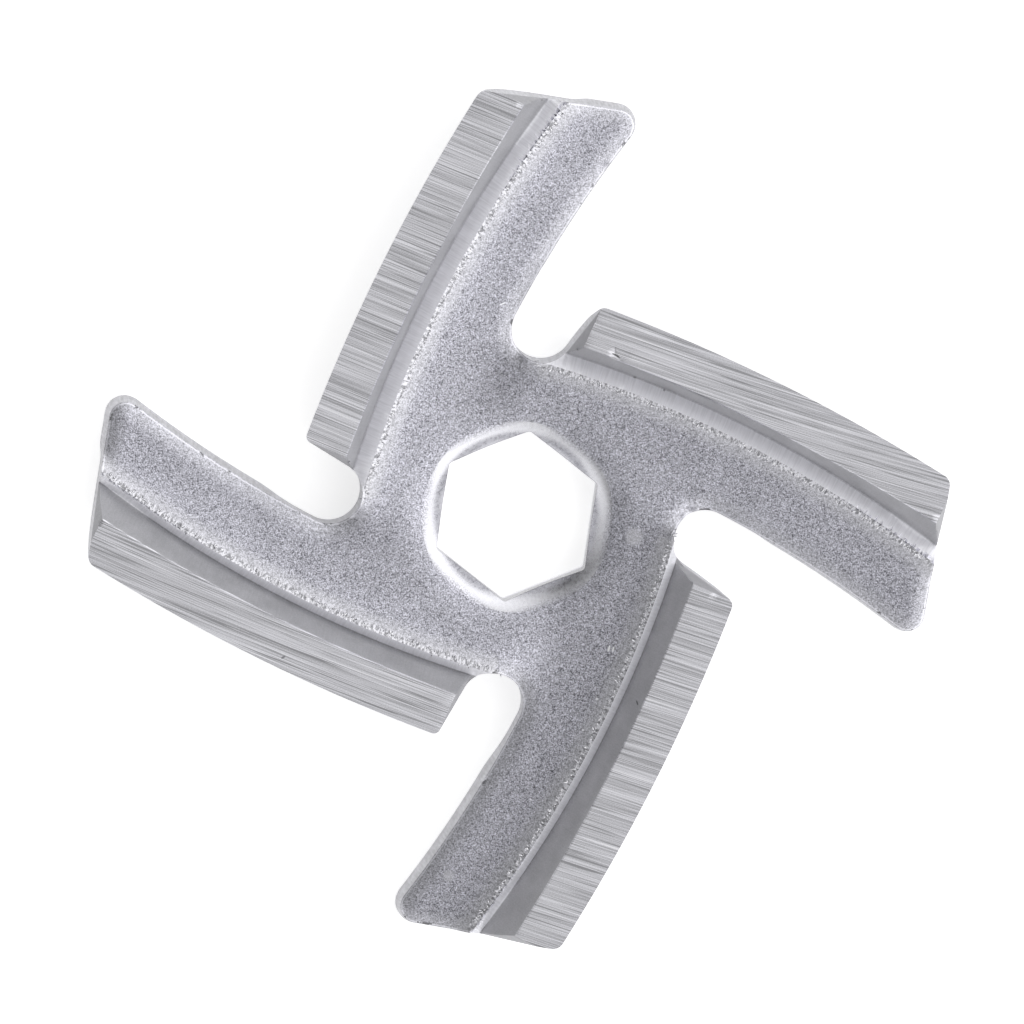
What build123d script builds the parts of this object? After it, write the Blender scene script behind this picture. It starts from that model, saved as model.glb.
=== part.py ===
from build123d import *
import math
import os

# Meat grinder knife: a four-armed pinwheel stamped from one piece of sheet.
# Millimetres, +Z up.  The origin is the middle of the hub on the back face,
# which is also the face that the knife lies on.  The cutting flats face up.

# --- driving dimensions -------------------------------------------------------
arm_count = 4
sheet = 2.75               # thickness of the sheet
flange_lift = 2.45         # from the top of the web up to the cutting plane
flange_angle = 73.0        # how far the leading flange is bent up, degrees
bend_radius = 3.4          # outside radius of that bend

drive_size = 9.0           # across flats of the screw end that turns the knife
drive_clearance = 0.2
drive_turn = 21.5          # a corner of the drive hole, degrees from +X
entry_radius = 1.3         # rounded entry on the cutting side

tip_reach = 26.47          # cutting edge at the tip, out from the middle
tip_drop = 2.4             # and down from the arm's centre line
end_rake = 1.75            # the end of the arm leans back by this much
end_width = 10.45          # from the cutting edge to the trailing corner, or shoulder
heel_overhang = 1.65       # the heel stands out past the notch beside it
heel_gap = 3.5             # and to the side of the notch
edge_bow = 0.62            # how far the cutting edge bows forward

trailing_angle = 28.0      # slope of the trailing edge where it meets the notch
notch_radius = 1.95        # round-bottomed notch between neighbouring arms
notch_reach = 11.5
notch_rise = 1.6

tip_corner_radius = 0.7
shoulder_radius = 1.0
heel_corner_radius = 0.45

strip_width = 2.75         # ground cutting flat
wall_run_tip = 1.15        # plan width of the wall behind the flat, at the tip
wall_run_heel = 0.85       # and at the heel
groove_bow = 1.15          # the groove bows more than the cutting edge
groove_depth = 0.5         # crease below the top of the web
groove_floor = 0.12        # width of the crease
band_run = 0.6             # plan width of the groove's far side, up to the crest
crest_rise = 0.85          # crest above the top of the web
swell_radius = 4.5         # the web sweeps up to the crest on this radius
swell_dip = 0.03           # whose lowest point would lie this far inside the sheet

rim_radius = 0.35          # rounded upper rim that blanking leaves

overrun = 6.0              # how far the bending and grooving run past the blank

# --- levels and helpers -------------------------------------------------------
cutting_plane = sheet + flange_lift
crest_level = sheet + crest_rise
crease_level = sheet - groove_depth
hex_across_flats = drive_size + drive_clearance
arm_pitch = 360.0 / arm_count
slant = math.radians(flange_angle)


def turned(point, steps):
    """A plan point moved round to the arm that is this many steps on."""
    return Vector(*point).rotate(Axis.Z, -arm_pitch * steps)


def arc_centre(start, end, bow):
    """Centre and radius of the arc from start to end that bows forward."""
    chord = end - start
    radius = (chord.length**2 / 4 + bow**2) / (2 * bow)
    back = Vector(-chord.Y, chord.X).normalized()
    return (start + end) * 0.5 + back * (radius - bow), radius


def arc_point(centre, radius, toward):
    """The point of a circle on the ray from its centre to another point."""
    return centre + (toward - centre).normalized() * radius


def tangent_point(centre, radius, outside):
    """Where the line from an outside point touches a circle, on its outer side."""
    away = outside - centre
    turn = math.degrees(math.acos(radius / away.length))
    return centre + (away.normalized() * radius).rotate(Axis.Z, -turn)


# --- plan of one arm, which points to -X ----------------------------------------
heel = Vector(-notch_rise - heel_gap, -notch_reach - heel_overhang)
tip = Vector(-tip_reach, -tip_drop)
shoulder = tip + Vector(end_rake, end_width)
notch_centre = Vector(-notch_reach, notch_rise)
notch_start = notch_centre + Vector(0, -notch_radius).rotate(Axis.Z, -trailing_angle)
notch_end = tangent_point(notch_centre, notch_radius, turned(heel, 1))
notch_side = arc_point(notch_centre, notch_radius, (notch_start + notch_end) * 0.5 + Vector(1, 0))
edge_centre, edge_radius = arc_centre(tip, heel, edge_bow)
edge_middle = arc_point(edge_centre, edge_radius, (tip + heel) * 0.5)
trailing_run = Vector(-1, 0).rotate(Axis.Z, -trailing_angle)


def arm_edges(steps):
    """The outline of one arm and its notch, up to the next arm's heel."""
    places = (heel, edge_middle, tip, shoulder, notch_start, notch_side, notch_end)
    corner, middle, toe, back, first, side, last = [turned(p, steps) for p in places]
    return [
        ThreePointArc(corner, middle, toe),
        Line(toe, back),
        TangentArc(first, back, tangent=turned(trailing_run, steps)),
        ThreePointArc(first, side, last),
        Line(last, turned(heel, steps + 1)),
    ]


def blank_outline():
    """The stamped blank's outline, with its corners rounded."""
    edges = [edge for steps in range(arm_count) for edge in arm_edges(steps)]
    face = make_face(Curve() + edges)
    for corner, radius in (
        (tip, tip_corner_radius),
        (shoulder, shoulder_radius),
        (heel, heel_corner_radius),
    ):
        for steps in range(arm_count):
            spot = turned(corner, steps)
            face = fillet(face.vertices().sort_by_distance(spot)[0], radius)
    return face


# --- the groove behind the cutting flat ------------------------------------------
strip_radius = edge_radius - strip_width


def behind_edge(corner, distance):
    """A plan point at this distance behind the cutting edge, beside a corner."""
    return arc_point(edge_centre, edge_radius - distance, corner)


crease_tip = behind_edge(tip, strip_width + wall_run_tip)
crease_heel = behind_edge(heel, strip_width + wall_run_heel)
groove_centre, crease_radius = arc_centre(crease_tip, crease_heel, groove_bow)
crest_radius = crease_radius - groove_floor - band_run
band_slope = band_run / (crest_level - crease_level)
mouth_radius = crease_radius - groove_floor - band_slope * (cutting_plane - crease_level)
crease_middle = arc_point(groove_centre, crease_radius, (crease_tip + crease_heel) * 0.5)
own_notch = turned(notch_centre, -1)
groove_start = crease_tip + (crease_tip - crease_heel).normalized() * overrun
groove_stop = arc_point(groove_centre, crease_radius, own_notch)


def groove_section(outer_centre, outer_radius, inner_radius, level):
    """A thin curved area of the groove at one level, from tip to heel."""
    along = (groove_start, crease_middle, groove_stop)
    outer = [arc_point(outer_centre, outer_radius, p) for p in along]
    inner = [arc_point(groove_centre, inner_radius, p) for p in reversed(along)]
    edges = [
        ThreePointArc(*outer),
        Line(outer[2], inner[0]),
        ThreePointArc(*inner),
        Line(inner[2], outer[0]),
    ]
    return Pos(0, 0, level) * make_face(Curve() + edges)


def groove_cutter():
    """The wedge that the groove is cut with: a steep wall on each side."""
    mouth = groove_section(edge_centre, strip_radius, mouth_radius, cutting_plane)
    crease = groove_section(groove_centre, crease_radius, crease_radius - groove_floor, crease_level)
    return loft([crease, mouth], ruled=True)


# --- solids -----------------------------------------------------------------------
def revolved(section, centre, start, stop):
    """A section in the radius-height plane, swept round a vertical axis."""
    first = math.degrees(math.atan2(start.Y - centre.Y, start.X - centre.X))
    last = math.degrees(math.atan2(stop.Y - centre.Y, stop.X - centre.X))
    solid = revolve(section, Axis.Z, revolution_arc=(last - first) % 360)
    return Pos(centre.X, centre.Y) * Rot(0, 0, first) * solid


def swell():
    """The web's sweep up to the crest, along the arm and round its end at the notch."""
    foot_level = sheet - swell_dip
    run = math.sqrt(swell_radius**2 - (foot_level + swell_radius - crest_level) ** 2)
    lean = math.asin(run / swell_radius) / 2
    bend = (swell_radius * math.sin(lean) - run, foot_level + swell_radius * (1 - math.cos(lean)))
    edges = [
        Line((-run, sheet / 2), (0, sheet / 2)),
        Line((0, sheet / 2), (0, crest_level)),
        ThreePointArc((0, crest_level), bend, (-run, foot_level)),
        Line((-run, foot_level), (-run, sheet / 2)),
    ]
    section = make_face(Curve() + edges)
    lip = Pos(0, sheet / 2) * Rectangle(band_run, crest_level - sheet / 2, align=Align.MIN)
    along = Plane.XZ * Pos(crest_radius, 0) * (section + lip)
    end = arc_point(groove_centre, crest_radius, own_notch)
    nose = Pos(end.X, end.Y) * revolve(Plane.XZ * section, Axis.Z)
    return revolved(along, groove_centre, groove_start, groove_stop) + nose


def underside_relief():
    """What lies outside the bent flange: under the edge and round the bend."""
    foot = edge_radius - cutting_plane / math.tan(slant)
    inside = foot - bend_radius
    outside = edge_radius + overrun
    flange = [(edge_radius, cutting_plane), (inside, cutting_plane), (inside, 0), (foot, 0)]
    envelope = Polygon(*flange, align=None)
    envelope = fillet(envelope.vertices().sort_by_distance((foot, 0))[0], bend_radius)
    around = Pos(inside, 0) * Rectangle(outside - inside, cutting_plane, align=Align.MIN)
    section = Plane.XZ * (around - envelope)
    start = tip + (tip - heel).normalized() * overrun
    return revolved(section, edge_centre, start, own_notch)


def slanted_end(line_start, line_end, crease_end):
    """The metal past a flange end, which is square to the sheet when flat and leans once bent."""
    forward = (crease_end - edge_centre).normalized()
    along = Vector(forward.Y, -forward.X)
    cut = line_end - line_start
    skew = cut.dot(along) / cut.dot(forward)
    up_flange = forward * math.cos(slant) + Vector(0, 0, math.sin(slant)) + along * skew
    through = forward * math.sin(slant) - Vector(0, 0, math.cos(slant))
    outward = up_flange.cross(through)
    if outward.dot(crease_end - edge_middle) < 0:
        outward = outward * -1
    corner = Vector(crease_end.X, crease_end.Y, crease_level)
    reach = 2 * tip_reach
    return Plane(corner, x_dir=through, z_dir=outward) * Box(
        reach, reach, reach, align=(Align.CENTER, Align.CENTER, Align.MIN)
    )


def end_on_line(line_start, line_end):
    """Where the crease meets an end line of the blank."""
    direction = (line_end - line_start).normalized()
    offset = line_start - groove_centre
    half = offset.dot(direction)
    spread = math.sqrt(half**2 - offset.length**2 + crease_radius**2)
    near = min((-half - spread, -half + spread), key=lambda s: abs(s))
    return line_start + direction * near


plate = extrude(blank_outline(), sheet)
plate = fillet(plate.faces().sort_by(Axis.Z)[-1].edges(), rim_radius)
flange_side = Rectangle(3 * tip_reach, 3 * tip_reach, align=(Align.MAX, Align.CENTER))
flange_side = Pos(-notch_rise, -tip_reach) * flange_side
wall_plan = flange_side - Pos(groove_centre) * Circle(crease_radius)
flange = extrude(blank_outline() & wall_plan, cutting_plane)
sweep_up = swell() & extrude(blank_outline(), cutting_plane)

last_notch = turned(notch_end, -1)
end_space = extrude(wall_plan, cutting_plane + overrun)
tip_end = slanted_end(shoulder, tip, end_on_line(tip, shoulder)) & end_space
heel_end = slanted_end(last_notch, heel, end_on_line(heel, last_notch)) & end_space

raised = flange + sweep_up
arm = raised - groove_cutter() - tip_end - heel_end - underside_relief()

cuts = underside_relief() + groove_cutter()
web = plate - [Rot(0, 0, -arm_pitch * steps) * cuts for steps in range(arm_count)]
knife = web + [Rot(0, 0, -arm_pitch * steps) * arm for steps in range(arm_count)]

# The drive hole: flats through the sheet, with a rounded entry on the cutting side.
flats = extrude(RegularPolygon(hex_across_flats / 2, 6, major_radius=False), sheet)
entry_top = hex_across_flats / 2 + entry_radius
entry_floor = sheet - entry_radius
entry_edges = [
    Line((0, entry_floor), (hex_across_flats / 2, entry_floor)),
    RadiusArc((hex_across_flats / 2, entry_floor), (entry_top, sheet), entry_radius),
    Line((entry_top, sheet), (0, sheet)),
    Line((0, sheet), (0, entry_floor)),
]
entry = revolve(Plane.XZ * make_face(Curve() + entry_edges), Axis.Z)
knife = knife - Rot(0, 0, drive_turn) * flats - entry

os.makedirs("parts", exist_ok=True)
export_step(knife, "parts/knife.step")
print("volume", round(knife.volume, 1), "solids", len(knife.solids()))
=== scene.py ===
"""Looks of the meat grinder knife: its detailed mesh, its steel finishes and the studio."""

import logging
import math
from collections.abc import Iterator
from dataclasses import dataclass, field
from enum import Enum

import bmesh
import bpy
import numpy as np
from mathutils import Matrix, Vector
from mathutils.geometry import delaunay_2d_cdt


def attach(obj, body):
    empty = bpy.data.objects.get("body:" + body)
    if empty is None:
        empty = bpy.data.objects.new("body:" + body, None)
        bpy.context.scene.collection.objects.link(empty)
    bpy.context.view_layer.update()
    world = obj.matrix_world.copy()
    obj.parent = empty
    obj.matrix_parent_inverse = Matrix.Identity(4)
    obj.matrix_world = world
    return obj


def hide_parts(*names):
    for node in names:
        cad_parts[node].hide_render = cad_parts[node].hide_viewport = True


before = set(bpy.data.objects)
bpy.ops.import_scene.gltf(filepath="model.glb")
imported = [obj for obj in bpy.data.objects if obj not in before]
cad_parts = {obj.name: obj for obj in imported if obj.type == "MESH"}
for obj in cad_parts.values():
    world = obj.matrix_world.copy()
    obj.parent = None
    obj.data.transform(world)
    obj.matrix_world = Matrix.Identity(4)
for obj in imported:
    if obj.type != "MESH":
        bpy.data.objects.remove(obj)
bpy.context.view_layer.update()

LOG = logging.getLogger("knife")
MM = 0.001
ARMS = 4
CHUNK = 2000        # rows of a long array that are measured at once
TINY = 1e-12        # keeps a length from being zero
HAIR = 1e-6         # less than any real difference in height
FINE = 0.01         # a step fine enough to find where two lines cross
WELL_PAST = 0.2     # a share of an arm's length that surely reaches past its ends
CORNER_POINTS = 11  # samples of a rounded corner
AHEAD_MOST = -4.0   # the gauges' lower end, in millimetres
GAUGE_MOST = 3.0    # and their upper end
MOST_MARKS = (0.3, 0.7)            # where nearly all of a noise's values lie
COOL_SHIFT = (-0.35, -0.4, 0.65)   # what a cooler grey does to red, green and blue
WHITE = (1.0, 1.0, 1.0, 1.0)
Pair = tuple[float, float]
Row = tuple[float, ...]
Triple = tuple[float, float, float]
Plane = tuple[np.ndarray, np.ndarray]


class Zone(Enum):
    """The finishes of the knife, in the order of its material slots."""

    FLAT = 0
    WALL = 1
    WEB = 2
    RIM = 3
    BORE = 4
    BACK = 5


# --- plan geometry, in millimetres ---------------------------------------------------


def unit(v: np.ndarray) -> np.ndarray:
    """The direction of a plan vector."""
    return v / np.linalg.norm(v)


def quarter_turns(points: np.ndarray, steps: int) -> np.ndarray:
    """Plan points moved round to the arm that is this many steps on.

    Args:
        points: Plan points, one a row.
        steps: How many arms to move on.

    Returns:
        The turned points.
    """
    a = -math.tau * steps / ARMS
    turn = np.array([[math.cos(a), -math.sin(a)], [math.sin(a), math.cos(a)]])
    return points @ turn.T


def smooth_step(x: np.ndarray, low: float, high: float) -> np.ndarray:
    """0 below low, 1 above high, and a smooth climb between."""
    t = np.clip((x - low) / (high - low), 0.0, 1.0)
    return t * t * (3 - 2 * t)


def soft_max(a: np.ndarray, b: np.ndarray, k: np.ndarray) -> np.ndarray:
    """The larger of a and b, with the change rounded over a width of k."""
    h = np.clip(0.5 + 0.5 * (a - b) / k, 0.0, 1.0)
    return b * (1 - h) + a * h + k * h * (1 - h)


def even(points: np.ndarray, step: float) -> np.ndarray:
    """Samples of an open polyline at about an even step, both ends kept.

    Args:
        points: The polyline, one plan point a row.
        step: The wanted distance between samples.

    Returns:
        The samples.
    """
    run = np.concatenate([[0], np.cumsum(np.linalg.norm(np.diff(points, axis=0), axis=1))])
    count = max(int(round(run[-1] / step)), 1) + 1
    at = np.linspace(0, run[-1], count)
    return np.column_stack([np.interp(at, run, points[:, i]) for i in (0, 1)])


def chunks(count: int) -> Iterator[slice]:
    """Slices of a long array, short enough for a table of all its distances."""
    return (slice(first, first + CHUNK) for first in range(0, count, CHUNK))


def inside(points: np.ndarray, polygon: np.ndarray) -> np.ndarray:
    """Which plan points lie inside a closed polygon.

    Args:
        points: Plan points, one a row.
        polygon: The polygon's corners, in order.

    Returns:
        A truth value for each point.
    """
    x, y = points[:, :1], points[:, 1:]
    a, b = polygon, np.roll(polygon, -1, axis=0)
    slope = (b[:, 0] - a[:, 0]) / np.where(b[:, 1] == a[:, 1], 1, b[:, 1] - a[:, 1])
    found = np.zeros(len(points), bool)
    for rows in chunks(len(points)):
        spans = (a[:, 1] > y[rows]) != (b[:, 1] > y[rows])
        left = x[rows] < a[:, 0] + (y[rows] - a[:, 1]) * slope
        found[rows] = (spans & left).sum(axis=1) % 2 == 1
    return found


def gap_to(points: np.ndarray, line: np.ndarray) -> np.ndarray:
    """The distance from each plan point to the nearest place on a polyline.

    Args:
        points: Plan points, one a row.
        line: The polyline's points.

    Returns:
        The distances.
    """
    a, d = line[:-1], np.diff(line, axis=0)
    length2 = np.maximum((d**2).sum(axis=1), TINY)
    best = np.full(len(points), np.inf)
    for rows in chunks(len(points)):
        rel = points[rows, None, :] - a[None]
        t = np.clip((rel * d).sum(axis=2) / length2, 0, 1)
        best[rows] = np.sqrt(((rel - t[..., None] * d) ** 2).sum(axis=2)).min(axis=1)
    return best


def around(angles: np.ndarray) -> np.ndarray:
    """The plan directions of some angles, one a row."""
    return np.column_stack([np.cos(angles), np.sin(angles)])


def outward(line: np.ndarray, run: np.ndarray, polygon: np.ndarray) -> np.ndarray:
    """The normals along a polygon's edge that point away from it.

    Args:
        line: Points of the edge, in order.
        run: The direction of travel at each.
        polygon: The polygon.

    Returns:
        The normals, of length 1.
    """
    normal = np.column_stack([run[:, 1], -run[:, 0]]) / np.linalg.norm(run, axis=1)[:, None]
    tested = slice(len(line) // 2, len(line) // 2 + 1)
    points_in = inside(line[tested] + normal[tested] * FINE, polygon)[0]
    return -normal if points_in else normal


def belt(row: int, count: int, here: np.ndarray) -> np.ndarray:
    """The triangles between one ring of points and the next.

    Args:
        row: The place of the first ring.
        count: How many points each ring has.
        here: At which points of the ring a square of two triangles starts.

    Returns:
        The triangles.
    """
    a, b = row * count + here, row * count + (here + 1) % count
    d, c = a + count, b + count
    return np.concatenate([np.column_stack([a, b, d]), np.column_stack([b, c, d])])


@dataclass(frozen=True)
class Circle:
    """A circle in plan, used for the edges that bow."""

    centre: np.ndarray
    radius: float

    @staticmethod
    def bowed(start: np.ndarray, end: np.ndarray, bow: float) -> "Circle":
        """The circle through two points whose arc between them bows forward.

        Args:
            start: The first point.
            end: The second point.
            bow: How far the middle stands off the chord.

        Returns:
            The circle.
        """
        chord = end - start
        radius = (chord @ chord / 4 + bow**2) / (2 * bow)
        back = unit(np.array([-chord[1], chord[0]]))
        return Circle((start + end) / 2 + back * (radius - bow), radius)

    def gap(self, points: np.ndarray) -> np.ndarray:
        """How far each point lies outside the circle."""
        return np.linalg.norm(points - self.centre, axis=-1) - self.radius

    def toward(self, point: np.ndarray) -> np.ndarray:
        """The circle's point on the ray from its centre to another point."""
        return self.centre + unit(point - self.centre) * self.radius

    def grown(self, by: float) -> "Circle":
        """The circle with the same centre and a radius larger by this much."""
        return Circle(self.centre, self.radius + by)

    def arc(self, start: np.ndarray, end: np.ndarray, step: float) -> np.ndarray:
        """Samples of the shorter arc between the rays to two points.

        Args:
            start: A point on the first ray.
            end: A point on the last ray.
            step: The wanted distance between samples.

        Returns:
            The samples, one a row.
        """
        a = math.atan2(*(start - self.centre)[::-1])
        b = math.atan2(*(end - self.centre)[::-1])
        b = a + (b - a + math.pi) % math.tau - math.pi
        angles = np.linspace(a, b, max(int(round(abs(b - a) * self.radius / step)), 1) + 1)
        return self.centre + self.radius * around(angles)


def rounded(corner: np.ndarray, come: np.ndarray, leave: np.ndarray, radius: float) -> np.ndarray:
    """The small arc that rounds an outline's corner.

    Args:
        corner: The sharp corner.
        come: The direction of travel before the corner.
        leave: The direction of travel after it.
        radius: The arc's radius.

    Returns:
        Samples of the arc, its two ends included.
    """
    turn = math.acos(float(np.clip(come @ leave, -1, 1)))
    trim = radius * math.tan(turn / 2)
    t = np.linspace(0, 1, CORNER_POINTS)[:, None]
    start, end = corner - come * trim, corner + leave * trim
    middle = (start + end) / 2
    centre = corner + unit(middle - corner) * radius / math.cos(turn / 2)
    spread = np.sin((1 - t) * turn) / math.sin(turn) * (start - centre)
    return centre + spread + np.sin(t * turn) / math.sin(turn) * (end - centre)


# --- the form ----------------------------------------------------------------------------


@dataclass(frozen=True)
class BlankSizes:
    """Sizes of the stamped blank, for the arm that points to -X, in millimetres and degrees."""

    tip: Pair = (-26.47, -2.4)
    heel: Pair = (-5.1, -13.15)
    shoulder: Pair = (-24.72, 8.05)
    edge_bow: float = 0.62
    trailing_angle: float = 28.0
    notch: Pair = (-11.5, 1.6)
    notch_radius: float = 1.95
    tip_round: float = 0.7
    shoulder_round: float = 1.0
    heel_round: float = 0.45
    hub_ring: float = 7.4       # where the arms' mesh meets the hub's
    front_step: float = 0.24    # how far apart the outline's points are
    side_step: float = 0.2
    end_step: float = 0.18
    notch_step: float = 0.12


@dataclass(frozen=True)
class SectionSizes:
    """Sizes of the bent section across an arm, in millimetres and degrees."""

    sheet: float = 2.75
    lift: float = 2.45
    angle: float = 73.0
    bend: float = 3.4
    strip: float = 2.75
    wall_tip: float = 1.36
    wall_heel: float = 1.06
    groove_bow: float = 0.9
    crease_lift: float = 0.2    # the crease above the top of the web
    crease_floor: float = 0.12
    band: float = 0.56
    crest_rise: float = 0.88
    web_sink: float = 0.02
    past_notch: float = 1.0     # the bend ends this far past the arm's own notch


@dataclass(frozen=True)
class FlareSizes:
    """How far the cut edge flares out toward the back, and where that fades, in millimetres."""

    reach: float = 0.2
    crest_fade: Pair = (0.2, 1.6)
    seam_fade: Pair = (0.0, 1.5)
    notch_fade: Pair = (2.2, 4.5)


@dataclass(frozen=True)
class WebSizes:
    """How the web swells up to the crest, falls to the hub and rolls over its rim, in millimetres."""

    swell_reach: float = 1.0
    swell_power: float = 1.25
    swell_left: float = 0.25    # the share that stays past the crest's end
    swell_end: Pair = (-1.0, 3.2)
    fall: float = 0.105         # the web's slope away from the crest
    width: float = 4.6
    fall_round: float = 1.2
    roll_width: float = 1.15
    roll_drop: float = 0.3
    roll_power: float = 2.2
    crest_clear: Pair = (0.1, 1.3)
    arm_box: Pair = (4.0, 14.0)  # an arm reaches no further right and up than this


@dataclass(frozen=True)
class GrooveSizes:
    """How softly the groove's faces meet each other and the arm's ends, in millimetres."""

    crease_round: float = 0.16
    tip_round: float = 0.9
    tip_sink: float = 0.12      # the groove is this much deeper at its tip end
    tip_fade: Pair = (0.5, 2.0)
    chamfer_slope: float = 0.9
    chamfer_start: float = 0.05
    floor_slope: float = 3.0    # how steeply the wall goes on under the band
    seam_fade: Pair = (0.3, 0.9)
    end_round: Pair = (0.02, 0.6)
    end_fade: Pair = (0.1, 1.2)
    end_floor: float = 0.1
    past_hub: float = 0.5       # the groove ends this far past the hub's axis
    line_inset: float = 0.3     # the burr stops this far from the rim


@dataclass(frozen=True)
class HubSizes:
    """Sizes of the drive hole, in millimetres and degrees."""

    across_flats: float = 9.2
    turn: float = 21.5
    corner_round: float = 0.35
    corner_lift: float = 0.004
    corner_curve: float = 0.5
    entry: float = 1.3
    dish: float = 7.35
    dish_drop: float = 0.17
    entry_start: float = 13.0
    entry_end: float = 50.0

    @property
    def mouth(self) -> float:
        """The radius at which the rounded entry starts."""
        return self.across_flats / 2 + self.entry


@dataclass
class KnifeForm:
    """The knife's plan lines and the heights of its two faces, for the arm that points to -X."""

    blank: BlankSizes = field(default_factory=BlankSizes)
    section: SectionSizes = field(default_factory=SectionSizes)
    web: WebSizes = field(default_factory=WebSizes)
    groove: GrooveSizes = field(default_factory=GrooveSizes)
    flare: FlareSizes = field(default_factory=FlareSizes)
    hub: HubSizes = field(default_factory=HubSizes)
    own_band: float = 0.56

    def __post_init__(self) -> None:
        """Works out the circles and points that the sizes give."""
        b, s = self.blank, self.section
        self.tip, self.heel, self.shoulder = map(np.array, (b.tip, b.heel, b.shoulder))
        self.notch = np.array(b.notch)
        self.own_notch = quarter_turns(self.notch, -1)
        self.own_seam = Circle(self.own_notch, b.notch_radius).toward(np.zeros(2))
        self.edge = Circle.bowed(self.tip, self.heel, b.edge_bow)
        self.strip_edge = self.edge.grown(-s.strip)
        crease_tip = self.edge.grown(-s.strip - s.wall_tip).toward(self.tip)
        crease_heel = self.edge.grown(-s.strip - s.wall_heel).toward(self.heel)
        self.crease = Circle.bowed(crease_tip, crease_heel, s.groove_bow)
        self.crease_middle = self.crease.toward((crease_tip + crease_heel) / 2)
        self.crest = self.crease.grown(-s.crease_floor - s.band)
        self.cutting_plane = s.sheet + s.lift
        self.crease_level = s.sheet + s.crease_lift
        self.crest_level = s.sheet + s.crest_rise
        self.notch_leave = self.tangent_from(quarter_turns(self.heel, 1))
        leave = math.radians(b.trailing_angle)
        self.notch_start = self.notch + b.notch_radius * np.array([-math.sin(leave), -math.cos(leave)])
        self.trailing = self.trailing_circle()
        self.tip_plane = self.end_plane(self.shoulder, self.tip)
        self.heel_plane = self.end_plane(quarter_turns(self.notch_leave, -1), self.heel)
        self.crest_start = self.crest.toward(self.end_crossing(self.tip, self.shoulder))
        self.crest_end = self.crest.toward(self.own_notch)
        self.crest_way = unit(self.crest_end - self.crest_start)
        self.rim_line = self.outline()
        # The crest and the ends are the same on every arm; only the crease has its own place.
        self.crease = self.crest.grown(s.crease_floor + self.own_band)

    def beyond(self, share: float) -> tuple[np.ndarray, np.ndarray]:
        """Points past the tip and past the heel, by a share of the way between them."""
        reach = (self.tip - self.heel) * share
        return self.tip + reach, self.heel - reach

    def tangent_from(self, point: np.ndarray) -> np.ndarray:
        """Where the line from a point touches the notch, on its outer side.

        Args:
            point: A plan point outside the notch.

        Returns:
            The point of touch.
        """
        away = point - self.notch
        turn = -math.acos(self.blank.notch_radius / np.linalg.norm(away))
        c, s = math.cos(turn), math.sin(turn)
        return self.notch + self.blank.notch_radius * np.array([[c, -s], [s, c]]) @ unit(away)

    def trailing_circle(self) -> Circle:
        """The circle of the trailing edge: it leaves the notch smoothly and meets the shoulder.

        Returns:
            The circle.
        """
        normal = unit(self.notch_start - self.notch)
        chord = self.shoulder - self.notch_start
        radius = chord @ chord / (2 * abs(chord @ normal))
        side = 1.0 if chord @ normal > 0 else -1.0
        return Circle(self.notch_start + normal * side * radius, radius)

    def end_crossing(self, start: np.ndarray, end: np.ndarray) -> np.ndarray:
        """Where the crease meets an end line of the blank."""
        line = even(np.array([start, end]), FINE)
        return line[np.abs(self.crease.gap(line)).argmin()]

    def end_plane(self, start: np.ndarray, end: np.ndarray) -> Plane:
        """The flange's end face, which is square to the sheet and leans once bent.

        Args:
            start: The start of the blank's end line, behind the groove.
            end: Its end, at the cutting edge.

        Returns:
            A point of the plane and its outward normal.
        """
        at = self.end_crossing(end, start)
        ahead = unit(at - self.edge.centre)
        along = np.array([ahead[1], -ahead[0]])
        cut = end - start
        skew = (cut @ along) / (cut @ ahead)
        lean = math.radians(self.section.angle)
        up = np.append(ahead * math.cos(lean) + along * skew, math.sin(lean))
        through = np.append(ahead * math.sin(lean), -math.cos(lean))
        normal = np.cross(up, through)
        if normal[:2] @ (at - self.crease_middle) < 0:
            normal = -normal
        return np.append(at, self.crease_level), normal / np.linalg.norm(normal)

    def plane_level(self, plane: Plane, points: np.ndarray) -> np.ndarray:
        """The height of an end face above plan points."""
        at, normal = plane
        return at[2] - (points - at[:2]) @ normal[:2] / normal[2]

    def corner_on(self, plane: Plane, circle: Circle, level: float) -> np.ndarray:
        """Where an end face crosses a circle at a level.

        Args:
            plane: A point of the end face and its normal.
            circle: The circle in plan.
            level: The height.

        Returns:
            The plan point.
        """
        at, normal = plane
        line = circle.arc(*self.beyond(WELL_PAST), FINE)
        off = (line - at[:2]) @ normal[:2] + (level - at[2]) * normal[2]
        return line[np.abs(off).argmin()]

    def ends_level(self, points: np.ndarray) -> np.ndarray:
        """The lower of the two end faces above plan points."""
        return np.minimum(self.plane_level(self.tip_plane, points), self.plane_level(self.heel_plane, points))

    # --- outline ---

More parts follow.
